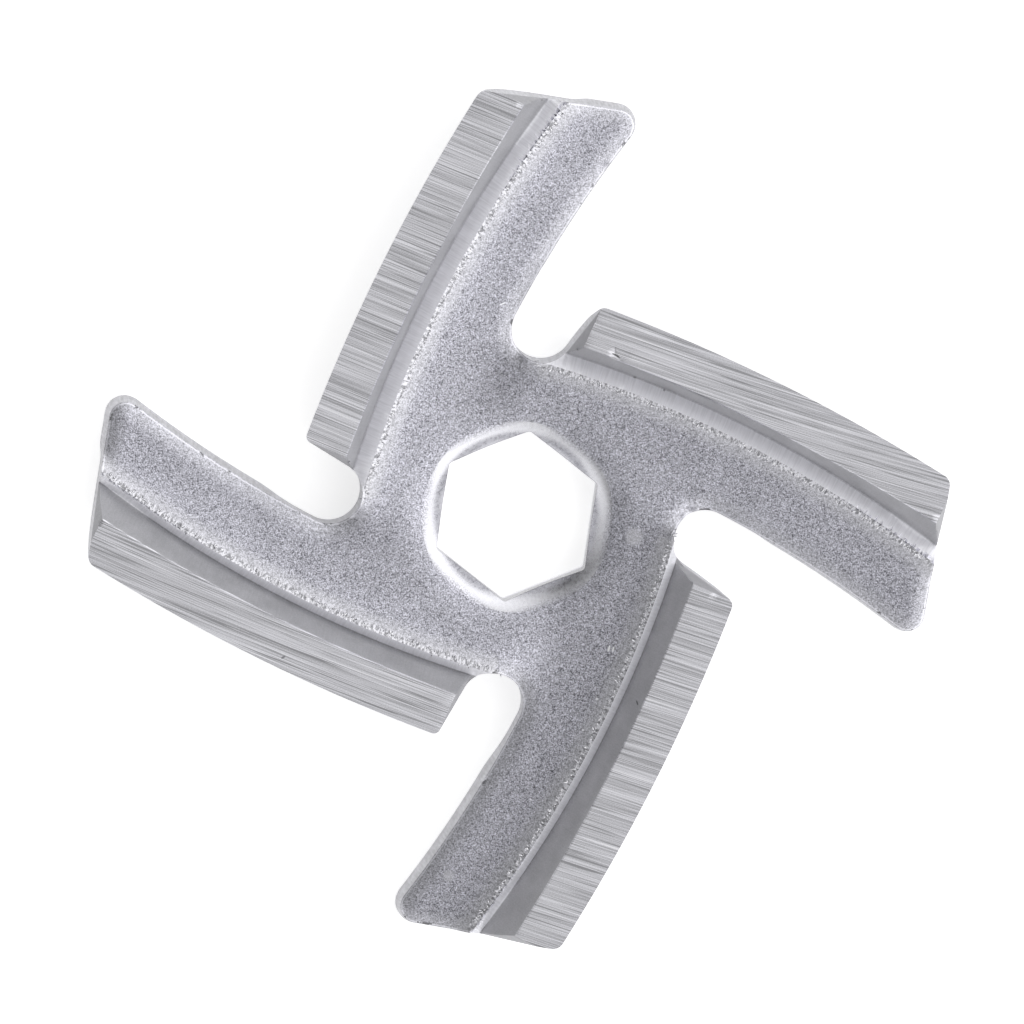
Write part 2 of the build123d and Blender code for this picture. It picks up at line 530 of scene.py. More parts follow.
    def outline(self) -> np.ndarray:
        """The blank's edge round one arm, from its own notch to the next one.

        Returns:
            Its points, in order.
        """
        b = self.blank
        start = quarter_turns(self.notch_leave, -1)
        own = Circle(self.own_notch, b.notch_radius)
        notch = Circle(self.notch, b.notch_radius)
        ahead = self.edge.arc(self.heel, self.tip, b.front_step)
        end_run = unit(self.shoulder - self.tip)
        back = self.trailing.arc(self.shoulder, self.notch_start, b.side_step)
        heel = rounded(self.heel, unit(self.heel - start), unit(ahead[1] - ahead[0]), b.heel_round)
        tip = rounded(self.tip, unit(ahead[-1] - ahead[-2]), end_run, b.tip_round)
        shoulder = rounded(self.shoulder, end_run, unit(back[1] - back[0]), b.shoulder_round)
        pieces = [
            own.arc(own.toward(np.zeros(2)), start, b.notch_step),
            even(np.array([start, heel[0]]), b.side_step)[1:],
            heel[1:-1],
            self.edge.arc(heel[-1], tip[0], b.front_step),
            tip[1:-1],
            even(np.array([tip[-1], shoulder[0]]), b.end_step),
            shoulder[1:-1],
            self.trailing.arc(shoulder[-1], self.notch_start, b.side_step),
            notch.arc(self.notch_start, notch.toward(np.zeros(2)), b.notch_step)[1:],
        ]
        return np.concatenate(pieces)

    def hexagon(self, angles: np.ndarray) -> np.ndarray:
        """The drive hole's radius at each angle, with its corners slightly rounded.

        Args:
            angles: Angles in radians from +X.

        Returns:
            The radii.
        """
        h = self.hub
        flat, half_side = h.across_flats / 2, math.pi / 6
        off = (angles - math.radians(h.turn)) % (2 * half_side) - half_side
        corner = flat / math.cos(half_side) - h.corner_round * (1 / math.cos(half_side) - 1)
        arc = corner + h.corner_lift - h.corner_curve * (half_side - np.abs(off)) ** 2
        return np.minimum(flat / np.cos(off), arc)

    # --- heights ---

    def crest_gap(self, points: np.ndarray) -> np.ndarray:
        """How far plan points lie behind the crest, measured round its end at the notch.

        Args:
            points: Plan points, one a row.

        Returns:
            The distances, negative ahead of the crest.
        """
        behind = -self.crest.gap(points)
        past = (points - self.crest_end) @ self.crest_way
        round_end = np.linalg.norm(points - self.crest_end, axis=1)
        return np.where(past > 0, np.maximum(round_end, np.abs(behind)), behind)

    def at_tip(self, points: np.ndarray) -> np.ndarray:
        """1 at the tip end of the groove, falling to 0 a little further in."""
        away = np.linalg.norm(points - self.crease.toward(self.tip), axis=1)
        return 1 - smooth_step(away, *self.groove.tip_fade)

    def swell(self, points: np.ndarray) -> np.ndarray:
        """How far one arm's swell and the fall of its web stand above the flat hub.

        Args:
            points: Plan points, one a row.

        Returns:
            The heights above the hub.
        """
        w = self.web
        gap = np.maximum(self.crest_gap(points), 0.0)
        fall = w.fall * soft_max(w.width - gap, np.zeros_like(gap), np.full_like(gap, w.fall_round))
        keep = 1 - smooth_step((points - self.crest_end) @ self.crest_way, *w.swell_end)
        curve = np.exp(-((gap / w.swell_reach) ** w.swell_power))
        rise = (self.section.crest_rise - w.fall * w.width) * curve
        return fall * keep + rise * (w.swell_left + (1 - w.swell_left) * keep)

    def by_arm(self, points: np.ndarray) -> Iterator[tuple[np.ndarray, np.ndarray]]:
        """Plan points as each arm sees them, and which of them it can reach.

        Args:
            points: Plan points, one a row.

        Yields:
            The points turned back to the first arm's place, and a truth value for each.
        """
        for step in range(ARMS):
            local = quarter_turns(points, -step)
            yield local, (local < self.web.arm_box).all(axis=1)

    def away_from_crests(self, points: np.ndarray) -> np.ndarray:
        """0 at every arm's crest and 1 from a little over a millimetre behind it.

        Args:
            points: Plan points, one a row.

        Returns:
            The shares.
        """
        share = np.ones(len(points))
        for local, near in self.by_arm(points):
            own = smooth_step(self.crest_gap(local), *self.web.crest_clear)
            share = np.where(near, np.minimum(share, own), share)
        return share

    def roll(self, points: np.ndarray) -> np.ndarray:
        """How far the web's rim rolls down, as blanking leaves it."""
        into = np.clip(1 - gap_to(points, self.rim_line) / self.web.roll_width, 0, 1)
        return self.web.roll_drop * into**self.web.roll_power * self.away_from_crests(points)

    def gauges(self, points: np.ndarray) -> np.ndarray:
        """Three measures that the finishes follow, in millimetres.

        Args:
            points: Plan points of the arm that points to -X.

        Returns:
            How far each point lies behind the crest, along it from the tip, and in from the rim.
        """
        off, end = points - self.crest.centre, self.crest_start - self.crest.centre
        along = (np.arctan2(off[:, 1], off[:, 0]) - math.atan2(end[1], end[0])) * self.crest.radius
        rim = gap_to(points, self.rim_line)
        behind = self.crest_gap(points)
        behind = np.where(behind < 0, behind * self.section.band / self.own_band, behind)
        return np.column_stack([np.clip(behind, AHEAD_MOST, GAUGE_MOST), along, np.minimum(rim, GAUGE_MOST)])

    def groove_level(self, points: np.ndarray, web: np.ndarray) -> np.ndarray:
        """The height of the flat, the wall, the crease and its band.

        Args:
            points: Plan points, one a row.
            web: The height of the web at each.

        Returns:
            The heights, which blend into the web at the arm's own seam.
        """
        s, g = self.section, self.groove
        behind = -self.strip_edge.gap(points)
        ahead = self.crease.gap(points)
        share = behind / np.maximum(behind + ahead, HAIR)
        wall = self.cutting_plane - share * s.lift + share * s.crease_lift
        wall = np.where(ahead > 0, wall, self.crease_level + ahead * g.floor_slope)
        slope = (self.crest_level - self.crease_level) / self.own_band
        band = self.crease_level - (ahead + s.crease_floor) * slope
        at_tip = self.at_tip(points)
        level = soft_max(wall, band, g.crease_round + g.tip_round * at_tip) - g.tip_sink * at_tip
        chamfer = self.cutting_plane - g.chamfer_slope * (behind + g.chamfer_start)
        level = np.minimum(np.minimum(level, chamfer), self.cutting_plane)
        from_seam = np.linalg.norm(points - self.own_seam, axis=1)
        return web + (level - web) * smooth_step(from_seam, *g.seam_fade)

    def top(self, points: np.ndarray) -> np.ndarray:
        """The height of the cutting side above plan points.

        Args:
            points: Plan points of the arm that points to -X.

        Returns:
            The heights.
        """
        s, g = self.section, self.groove
        web = self.top_all(points) - self.roll(points)
        in_groove = (self.crest.gap(points) > 0) & (points[:, 0] < g.past_hub)
        height = np.where(in_groove, self.groove_level(points, web), np.minimum(web, self.crest_level))
        least, more = g.end_round
        soft = least + more * self.at_tip(points) * smooth_step(-self.strip_edge.gap(points), *g.end_fade)
        tip_end = -soft_max(-height, -self.plane_level(self.tip_plane, points), soft)
        ends = np.minimum(tip_end, self.plane_level(self.heel_plane, points))
        ends = np.maximum(ends, self.crease_level - g.end_floor)
        share = smooth_step(self.crease.gap(points), -s.crease_floor - self.own_band, -s.crease_floor)
        return height + (np.minimum(height, ends) - height) * share

    def crest_line(self, gap: float, step: float) -> np.ndarray:
        """Places on the cutting side along one arm's crest.

        Args:
            gap: How far behind the crest they lie.
            step: The wanted distance between them.

        Returns:
            The places in space, clear of the blank's rim.
        """
        line = self.crest.grown(-gap).arc(self.crest_start, self.crest_end, step)
        line = line[gap_to(line, self.rim_line) > self.groove.line_inset]
        return np.column_stack([line, self.top(line)])

    def top_all(self, points: np.ndarray) -> np.ndarray:
        """The height of the web and hub anywhere, without the grooves.

        Args:
            points: Plan points, one a row.

        Returns:
            The heights.
        """
        level = np.full(len(points), self.section.sheet - self.section.web_sink)
        for local, near in self.by_arm(points):
            level += np.where(near, self.swell(local), 0.0)
        return level

    def bottom(self, points: np.ndarray) -> np.ndarray:
        """The height of the back above plan points.

        Args:
            points: Plan points of the arm that points to -X.

        Returns:
            The heights, above 0 only under the bent flange.
        """
        s = self.section
        lean = math.radians(s.angle)
        behind = -self.edge.gap(points)
        start = self.cutting_plane / math.tan(lean) + s.bend * math.tan(lean / 2)
        straight = self.cutting_plane - behind * math.tan(lean)
        x = np.clip(start - behind, 0, s.bend * math.sin(lean))
        bend = s.bend - np.sqrt(s.bend**2 - x**2)
        height = np.where(behind < start - s.bend * math.sin(lean), straight, bend)
        under_flange = points[:, 0] < self.own_notch[0] + s.past_notch
        return np.where(under_flange, np.clip(height, 0, self.cutting_plane), 0.0)


@dataclass(frozen=True)
class Nick:
    """A small dent or chip on the cutting side, in millimetres."""

    at: Pair
    reach: float
    depth: float

    def sink(self, points: np.ndarray, floor: float) -> None:
        """Presses the dent into a mesh.

        Args:
            points: The mesh's points, which are changed.
            floor: The level above which points are pressed.
        """
        far = np.linalg.norm(points[:, :2] - np.array(self.at), axis=1) / self.reach
        deep = self.depth * np.clip(1 - far**2, 0, 1)
        points[:, 2] -= np.where(points[:, 2] > floor, deep, 0.0)


# --- the mesh ------------------------------------------------------------------------------


@dataclass
class Sheet:
    """Vertices in millimetres, faces, each face's finish and each vertex's gauges."""

    points: np.ndarray
    faces: np.ndarray
    zones: np.ndarray
    gauges: np.ndarray

    def turned(self, steps: int) -> "Sheet":
        """The same sheet moved round to another arm."""
        flat = quarter_turns(self.points[:, :2], steps)
        return Sheet(np.column_stack([flat, self.points[:, 2]]), self.faces, self.zones, self.gauges)

    @staticmethod
    def joined(sheets: list["Sheet"]) -> "Sheet":
        """Several sheets in one, their vertices not yet merged.

        Args:
            sheets: The sheets.

        Returns:
            The one sheet.
        """
        starts = np.cumsum([0] + [len(s.points) for s in sheets[:-1]])
        return Sheet(
            np.concatenate([s.points for s in sheets]),
            np.concatenate([s.faces + at for s, at in zip(sheets, starts)]),
            np.concatenate([s.zones for s in sheets]),
            np.concatenate([s.gauges for s in sheets]),
        )


@dataclass(frozen=True)
class Spacing:
    """Where the mesh has its rows and how far apart its points are, in millimetres."""

    hub_columns: int = 360
    rim_rings: Row = (0.06, 0.14, 0.25, 0.4, 0.6, 0.85, 1.15)
    swell_rows: Row = (0.04, 0.09, 0.15, 0.22, 0.31, 0.43, 0.58, 0.78, 1.02, 1.3, 1.65, 2.1)
    swell_step: Pair = (0.1, 0.16)
    groove_rows: Row = (-0.5, -0.36, -0.24, -0.14, -0.05, 0.04, 0.12, 0.2, 0.3)
    groove_step: float = 0.16
    crest_step: float = 0.09
    wall_shares: Row = (0.25, 0.45, 0.65, 0.85)
    wall_step: float = 0.3
    strip_rows: Pair = (0.05, -0.022)  # either side of the flat's back edge
    strip_step: float = 0.25
    end_steps: Pair = (0.3, 0.2)
    seam_step: float = 0.3
    web_fill: Pair = (0.42, 0.36)
    beyond: float = 0.1
    apart: float = 0.05
    from_edge: float = 0.045
    from_line: float = 0.03
    flat_keep: int = 7          # of the points inside the flat, one in so many stays
    flat_from: float = 0.1
    bend_rows: Row = (0.4, 0.8, 1.2, 1.7, 2.2, 2.7, 3.2, 3.7, 4.1)
    bend_step: float = 0.5
    back_fill: float = 1.1
    back_from_edge: float = 0.2
    side_levels: Row = (0.0, 0.05, 0.16, 0.32, 0.55, 0.8, 1.0)
    side_bulge: float = 0.8
    dish_rings: Row = (7.25, 7.1, 6.95, 6.8, 6.65, 6.5, 6.35, 6.2, 6.05)
    entry_rings: Row = (0.0, 0.04, 0.1, 0.18, 0.28, 0.4, 0.52, 0.64, 0.75, 0.85, 0.93, 1.0)
    bore_levels: Row = (0.66, 0.33, 0.0)
    back_rings: Row = (0.3, 0.65, 1.0)
    same_place: float = 1e-4
    merge: float = 1e-5
    least_area: float = 3e-6


@dataclass
class KnifeMesh:
    """Builds the knife's closed mesh: fine where the form turns, coarse where it is flat."""

    form: KnifeForm
    space: Spacing = field(default_factory=Spacing)
    bands: Row = (0.46, 0.84, 0.84, 0.46)  # each arm's own, clockwise from -X

    def ring(self) -> np.ndarray:
        """The circle where the arms' mesh meets the hub's.

        Returns:
            Its points, clockwise from the own notch.
        """
        start = math.atan2(self.form.own_notch[1], self.form.own_notch[0])
        turns = math.tau * np.arange(self.space.hub_columns) / self.space.hub_columns
        return self.form.blank.hub_ring * around(start - turns)

    def domain(self) -> tuple[np.ndarray, int]:
        """One arm's part of the plan, from its own notch to the next one.

        Returns:
            The closed boundary, and how many of its points lie on the blank's edge.
        """
        rim = self.form.rim_line
        ring = self.ring()[: self.space.hub_columns // ARMS + 1]
        last = even(np.array([rim[-1], ring[-1]]), self.space.seam_step)[1:-1]
        first = even(np.array([ring[0], rim[0]]), self.space.seam_step)[1:-1]
        return np.concatenate([rim, last, ring[::-1], first]), len(rim)

    def lines(self) -> list[np.ndarray]:
        """The sharp lines of the cutting side, which mesh edges follow.

        Returns:
            The polylines in plan.
        """
        f, space = self.form, self.space
        found = []
        for plane in (f.tip_plane, f.heel_plane):
            inner = f.corner_on(plane, f.strip_edge, f.cutting_plane)
            ahead = f.corner_on(plane, f.edge, f.cutting_plane)
            found.append(even(np.array([ahead, inner]), space.end_steps[0]))
            found.append(even(np.array([inner, plane[0][:2]]), space.end_steps[1]))
        past_tip, past_heel = f.beyond(space.beyond)
        for grow in space.strip_rows:
            line = f.strip_edge.grown(grow).arc(past_tip, past_heel, space.strip_step)
            found.append(line[f.ends_level(line) > f.cutting_plane])
        found.append(f.crest.arc(past_tip, f.crest_end, space.crest_step))
        return found

    def rim_rows(self, boundary: np.ndarray, rim_count: int) -> list[np.ndarray]:
        """Rows of points that follow the blank's edge on its inside.

        Args:
            boundary: The closed boundary of one arm's part.
            rim_count: How many of its points lie on the blank's edge.

        Returns:
            The rows.
        """
        rim = boundary[:rim_count]
        out = outward(rim, np.gradient(rim, axis=0), boundary)
        return [rim - out * gap for gap in self.space.rim_rings]

    def seeds(self, boundary: np.ndarray, rim_count: int) -> np.ndarray:
        """The points inside one arm's part where the form needs them.

        Args:
            boundary: The closed boundary of the part.
            rim_count: How many of its points lie on the blank's edge.

        Returns:
            The plan points, some of them still outside the part.
        """
        f, space = self.form, self.space
        past_tip, past_heel = f.beyond(space.beyond)
        base, more = space.swell_step
        rows = [f.crest.grown(-gap).arc(past_tip, f.crest_end, base + gap * more) for gap in space.swell_rows]
        grooves = [f.crease.grown(gap) for gap in space.groove_rows]
        rows += [groove.arc(past_tip, f.crest_end, space.groove_step) for groove in grooves]
        outer = f.strip_edge.arc(past_tip, past_heel, space.wall_step)
        inner = np.array([f.crease.toward(p) for p in outer])
        rows += [outer + (inner - outer) * share for share in space.wall_shares]
        rows += self.rim_rows(boundary, rim_count)
        low, high = boundary.min(axis=0), boundary.max(axis=0)
        wide, deep = space.web_fill
        xs, ys = np.arange(low[0], high[0], wide), np.arange(low[1], high[1], deep)
        rows.append(np.array([(x + (i % 2) * wide / 2, y) for i, y in enumerate(ys) for x in xs]))
        return np.concatenate(rows)

    def loose(self, boundary: np.ndarray, rim_count: int, lines: list[np.ndarray]) -> np.ndarray:
        """The seeds that stand clear of the boundary, the lines and each other.

        Args:
            boundary: The closed boundary of the part.
            rim_count: How many of its points lie on the blank's edge.
            lines: The sharp lines.

        Returns:
            The plan points, few of them on the cutting flat.
        """
        f, space = self.form, self.space
        seeds = self.seeds(boundary, rim_count)
        _, first = np.unique(np.round(seeds / space.apart).astype(np.int64), axis=0, return_index=True)
        seeds = seeds[np.sort(first)]
        seeds = seeds[inside(seeds, boundary)]
        seeds = seeds[gap_to(seeds, np.vstack([boundary, boundary[:1]])) > space.from_edge]
        for line in lines:
            seeds = seeds[gap_to(seeds, line) > space.from_line]
        on_flat = (f.strip_edge.gap(seeds) > space.flat_from) & (f.top(seeds) > f.cutting_plane - HAIR)
        return seeds[~on_flat | (np.arange(len(seeds)) % space.flat_keep == 0)]

    def triangulate(
        self, boundary: np.ndarray, lines: list[np.ndarray], seeds: np.ndarray
    ) -> tuple[np.ndarray, np.ndarray]:
        """A plan triangulation that keeps the boundary and the lines.

        Args:
            boundary: The closed boundary.
            lines: Open polylines inside it.
            seeds: Loose points inside it.

        Returns:
            The plan points and the triangles.
        """
        edges = [(i, (i + 1) % len(boundary)) for i in range(len(boundary))]
        count = len(boundary)
        for line in lines:
            edges += [(count + i, count + i + 1) for i in range(len(line) - 1)]
            count += len(line)
        every = [Vector(p) for p in np.concatenate([boundary, *lines, seeds])]
        verts, _, faces, *_ = delaunay_2d_cdt(every, edges, [], 0, self.space.merge)
        flat = np.array([tuple(v) for v in verts])
        tris = np.array([tuple(t) for t in faces if len(t) == 3])
        tris = tris[inside(flat[tris].mean(axis=1), boundary)]
        a, b, c = flat[tris[:, 0]], flat[tris[:, 1]], flat[tris[:, 2]]
        area = (b - a)[:, 0] * (c - a)[:, 1] - (b - a)[:, 1] * (c - a)[:, 0]
        tris = np.where(area[:, None] < 0, tris[:, ::-1], tris)
        tris = tris[np.abs(area) > self.space.least_area]
        used, tris = np.unique(tris, return_inverse=True)
        return flat[used], tris.reshape(-1, 3)

    def loop(self, tris: np.ndarray) -> np.ndarray:
        """The vertices of a triangulation's outer loop, in order.

        Args:
            tris: The triangles.

        Returns:
            The vertices' places.
        """
        edges = np.concatenate([tris[:, [0, 1]], tris[:, [1, 2]], tris[:, [2, 0]]])
        known = {(a, b) for a, b in edges.tolist()}
        after = {a: b for a, b in known if (b, a) not in known}
        at = min(after)
        found = [at]
        while after[found[-1]] != at:
            found.append(after[found[-1]])
        return np.array(found)

    def top_zones(self, middles: np.ndarray) -> np.ndarray:
        """The finish of each triangle of the cutting side.

        Args:
            middles: The triangles' middles in plan.

        Returns:
            The finishes' numbers.
        """
        f = self.form
        on_strip = f.strip_edge.gap(middles) > self.space.strip_rows[1]
        zones = np.full(len(middles), Zone.WEB.value)
        zones[f.crest.gap(middles) > 0] = Zone.WALL.value
        zones[on_strip & (f.ends_level(middles) >= f.cutting_plane)] = Zone.FLAT.value
        return zones

    def arm(self) -> Sheet:
        """One arm's part of the knife.

        Returns:
            Its cutting side, its back and the cut edge between them.
        """
        f = self.form
        boundary, rim_count = self.domain()
        lines = self.lines()
        seeds = self.loose(boundary, rim_count, lines)
        lines = [line[inside(line, boundary)] for line in lines]
        plan, tris = self.triangulate(boundary, lines, seeds)
        points = np.column_stack([plan, f.top(plan)])
        top = Sheet(points, tris, self.top_zones(plan[tris].mean(axis=1)), f.gauges(plan))
        edge = plan[self.loop(tris)]
        on_rim = gap_to(edge, boundary[:rim_count]) < self.space.same_place
        spread = self.flared(edge, on_rim)
        return Sheet.joined([top, self.back(edge, spread), self.side(edge, spread, on_rim)])

    def back(self, edge: np.ndarray, spread: np.ndarray) -> Sheet:
        """One arm's part of the back.

        Args:
            edge: The closed edge of the part, in order.
            spread: How far each of its points moves out.

        Returns:
            The sheet, facing down.
        """
        f, space = self.form, self.space
        bend = [f.edge.grown(-gap).arc(f.tip, f.heel, space.bend_step) for gap in space.bend_rows]
        low, high = edge.min(axis=0), edge.max(axis=0)
        xs, ys = (np.arange(low[i], high[i], space.back_fill) for i in (0, 1))
        seeds = np.concatenate(bend + [np.array([(x, y) for y in ys for x in xs])])
        seeds = seeds[inside(seeds, edge)]
        seeds = seeds[gap_to(seeds, np.vstack([edge, edge[:1]])) > space.back_from_edge]
        plan, tris = self.triangulate(edge + spread, [], seeds)
        points = np.column_stack([plan, f.bottom(plan)])
        return Sheet(points, tris[:, ::-1], np.full(len(tris), Zone.BACK.value), f.gauges(plan))

    def side(self, edge: np.ndarray, spread: np.ndarray, on_rim: np.ndarray) -> Sheet:
        """The cut edge of one arm's part.

        Args:
            edge: The closed edge of the part, in order.
            spread: How far each of its points moves out toward the back.
            on_rim: Which of its points lie on the blank's own edge.

        Returns:
            The sheet, facing out.
        """
        f, levels = self.form, self.space.side_levels
        high, low = f.top(edge), f.bottom(edge + spread)
        rings = []
        for t in levels:
            out = edge + spread * math.sin(t * math.pi / 2) ** self.space.side_bulge
            rings.append(np.column_stack([out, high + (low - high) * t]))
        points = np.concatenate(rings)
        here = np.flatnonzero(on_rim & np.roll(on_rim, -1))
        faces = np.concatenate([belt(row, len(edge), here)[:, ::-1] for row in range(len(levels) - 1)])
        return Sheet(points, faces, np.full(len(faces), Zone.RIM.value), f.gauges(points[:, :2]))

    def flared(self, edge: np.ndarray, on_rim: np.ndarray) -> np.ndarray:
        """How far each point of the blank's edge moves out toward the back, where it was sheared.

        Args:
            edge: The closed edge of one arm's part, in order.
            on_rim: Which of its points lie on the blank's own edge.

        Returns:
            The outward shift of each point, zero on the flange and inside the blank.
        """
        f, flare = self.form, self.form.flare
        out = outward(edge, np.roll(edge, -1, axis=0) - np.roll(edge, 1, axis=0), edge)
        share = f.away_from_crests(edge) * smooth_step(-f.crest.gap(edge), *flare.crest_fade)
        from_seam = gap_to(edge, np.vstack([edge[~on_rim], edge[~on_rim][:1]]))
        from_notch = np.linalg.norm(edge - f.notch, axis=1)
        share = share * smooth_step(from_seam, *flare.seam_fade)
        share = share * smooth_step(from_notch, *flare.notch_fade) * on_rim
        return out * (flare.reach * share)[:, None]

    def hub(self) -> Sheet:
        """The hub round the drive hole: its top, its rounded entry, the flats and its back.

        Returns:
            The sheet.
        """
        f, space = self.form, self.space
        ring = self.ring()
        way = around(np.arctan2(ring[:, 1], ring[:, 0]))
        hole = f.hexagon(np.arctan2(ring[:, 1], ring[:, 0]))
        radii = [np.full(len(ring), radius) for radius in (f.blank.hub_ring, *space.dish_rings)]
        radii += [f.hub.mouth + (hole - f.hub.mouth) * share for share in space.entry_rings]
        plans = [radius[:, None] * way for radius in radii]
        rows = [np.column_stack([plan, self.entry_level(plan, f.top_all(plan))]) for plan in plans]
        mouth = f.hub.mouth + FINE
        kinds = [Zone.WEB.value if radius.min() > mouth else Zone.BORE.value for radius in radii[:-1]]
        lip = rows[-1]
        rows += [lip * (1.0, 1.0, level) for level in space.bore_levels]
        kinds += [Zone.BORE.value] * len(space.bore_levels)
        for share in space.back_rings:
            plan = (hole + (f.blank.hub_ring - hole) * share)[:, None] * way
            rows.append(np.column_stack([plan, np.zeros(len(plan))]))
            kinds.append(Zone.BACK.value)
        every = np.concatenate(rows)
        from_hole = np.linalg.norm(every[:, :2], axis=1) - np.tile(hole, len(rows))
        behind, along = np.full(len(every), GAUGE_MOST), np.zeros(len(every))
        gauges = np.column_stack([behind, along, np.clip(from_hole, 0, GAUGE_MOST)])
        faces = [belt(row, len(ring), np.arange(len(ring))) for row in range(len(kinds))]
        return Sheet(every, np.concatenate(faces), np.repeat(kinds, len(faces[0])), gauges)

    def entry_level(self, plan: np.ndarray, web: np.ndarray) -> np.ndarray:
        """The height of the hub's top, with the hole's rounded entry let in.

        Args:
            plan: Plan points of the hub.
            web: The height of the web at each.

        Returns:
            The heights.
        """
        hub = self.form.hub
        reach = np.linalg.norm(plan, axis=1)
        into = np.clip(hub.mouth - reach, 0, hub.entry)
        dish = np.clip((hub.dish - reach) / (hub.dish - hub.mouth), 0, 1) ** 2
        start, end = (math.tan(math.radians(angle)) for angle in (hub.entry_start, hub.entry_end))
        fall = start * into + (end - start) * into**2 / (2 * hub.entry)
        return web - hub.dish_drop * dish - fall

    def whole(self) -> Sheet:
        """The whole knife, each arm with its own width of band."""
        arms = [KnifeMesh(KnifeForm(own_band=band)).arm() for band in self.bands]
        return Sheet.joined([arm.turned(step) for step, arm in enumerate(arms)] + [self.hub()])


@dataclass
class Knife:
    """The knife as one closed piece."""

    form: KnifeForm = field(default_factory=KnifeForm)
    nicks: tuple[Nick, ...] = (
        Nick((5.86, 10.2), 0.3, 0.16),
        Nick((5.39, 21.4), 0.4, 0.22),
        Nick((-2.29, -16.15), 0.35, 0.2),
        Nick((10.5, 0.12), 0.55, 0.2),
        Nick((12.2, -4.2), 0.45, 0.2),
        Nick((-14.5, -8.3), 0.3, 0.07),
        Nick((4.0, 11.75), 0.3, 0.16),
    )
    nick_floor: float = 1.75    # in millimetres; below it nothing is dented
    seam_reach: float = 1.5e-6  # in metres, as the next one
    sliver: float = 1e-7
    sharp_angle: float = 38.0

    def build(self) -> bpy.types.Object:
        """Builds the knife's mesh and object.

        Returns:
            The object, at the origin, with one material slot for each zone.
        """
        sheet = KnifeMesh(self.form).whole()
        for nick in self.nicks:
            nick.sink(sheet.points, self.nick_floor)
        mesh = bpy.data.meshes.new("knife_detailed")
        mesh.from_pydata((sheet.points * MM).tolist(), [], sheet.faces.tolist())
        for _ in Zone:
            mesh.materials.append(None)
        mesh.polygons.foreach_set("material_index", sheet.zones.astype(np.int32))
        for column, name in enumerate(("behind_crest", "along_crest", "from_rim")):
            gauge = mesh.attributes.new(name, "FLOAT", "POINT")
            gauge.data.foreach_set("value", sheet.gauges[:, column].astype(np.float32))
        knife = bpy.data.objects.new("knife_detailed", mesh)
        bpy.context.scene.collection.objects.link(knife)
        self.close(mesh)
        return knife

    def close(self, mesh: bpy.types.Mesh) -> None:
        """Merges the seams, turns the faces outward and shades smooth between sharp edges.

        Args:
            mesh: The knife's mesh, which is changed.
        """
        bm = bmesh.new()
        bm.from_mesh(mesh)
        bmesh.ops.remove_doubles(bm, verts=bm.verts, dist=self.seam_reach)
        bmesh.ops.dissolve_degenerate(bm, dist=self.sliver, edges=bm.edges)
        open_edges = sum(1 for e in bm.edges if len(e.link_faces) != 2)
        volume = bm.calc_volume(signed=True)
        if volume < 0:
            bmesh.ops.reverse_faces(bm, faces=bm.faces)
        bm.to_mesh(mesh)
        LOG.info("mesh: %d faces, %d open edges, %.1f mm3", len(bm.faces), open_edges, volume / MM**3)
        bm.free()
        mesh.set_sharp_from_angle(angle=math.radians(self.sharp_angle))
        mesh.validate()


# --- node building --------------------------------------------------------------------------


class Flow:
    """A shader value that Python arithmetic works on: each operation adds a Math node."""

    def __init__(self, tree: "Tree", socket: bpy.types.NodeSocket) -> None:
        """Wraps a socket of a node tree."""
        self.tree = tree
        self.socket = socket

    def _math(self, operation: str, a: "Flow | float", b: "Flow | float") -> "Flow":
        """One Math node on two values."""
        return self.tree.add("ShaderNodeMath", {"operation": operation}, {0: a, 1: b}).out()

    def __add__(self, other: "Flow | float") -> "Flow":
        """This value plus another."""
        return self._math("ADD", self, other)

    def __radd__(self, other: float) -> "Flow":
        """A number plus this value."""
        return self._math("ADD", other, self)

    def __sub__(self, other: "Flow | float") -> "Flow":
        """This value less another."""
        return self._math("SUBTRACT", self, other)

    def __rsub__(self, other: float) -> "Flow":
        """A number less this value."""
        return self._math("SUBTRACT", other, self)

    def __mul__(self, other: "Flow | float") -> "Flow":
        """This value times another."""
        return self._math("MULTIPLY", self, other)

    def __rmul__(self, other: float) -> "Flow":
        """A number times this value."""
        return self._math("MULTIPLY", other, self)

    def __pow__(self, other: float) -> "Flow":
        """This value to a power."""
        return self._math("POWER", self, other)

    def at_least(self, low: float) -> "Flow":
        """This value, or low where it is smaller."""
        return self._math("MAXIMUM", self, low)

    def spread(self, low: float, high: float, to_low: float = 0.0, to_high: float = 1.0) -> "Flow":
        """This value's range from low to high, mapped to a new range and clamped.

        Args:
            low: The value that becomes to_low.
            high: The value that becomes to_high.
            to_low: The result's lower end.
            to_high: The result's upper end.

        Returns:
            The mapped value.
        """
        values = {"Value": self, "From Min": low, "From Max": high, "To Min": to_low, "To Max": to_high}
        return self.tree.add("ShaderNodeMapRange", {"clamp": True}, values).out()


class Placed:
    """A node of a tree, and the way to its outputs."""

    def __init__(self, tree: "Tree", node: bpy.types.Node) -> None:
        """Keeps the node with its tree."""
        self.tree = tree
        self.node = node

    def out(self, name: str | int = 0) -> Flow:
        """An output of the node, by name or place."""
        return Flow(self.tree, self.node.outputs[name])


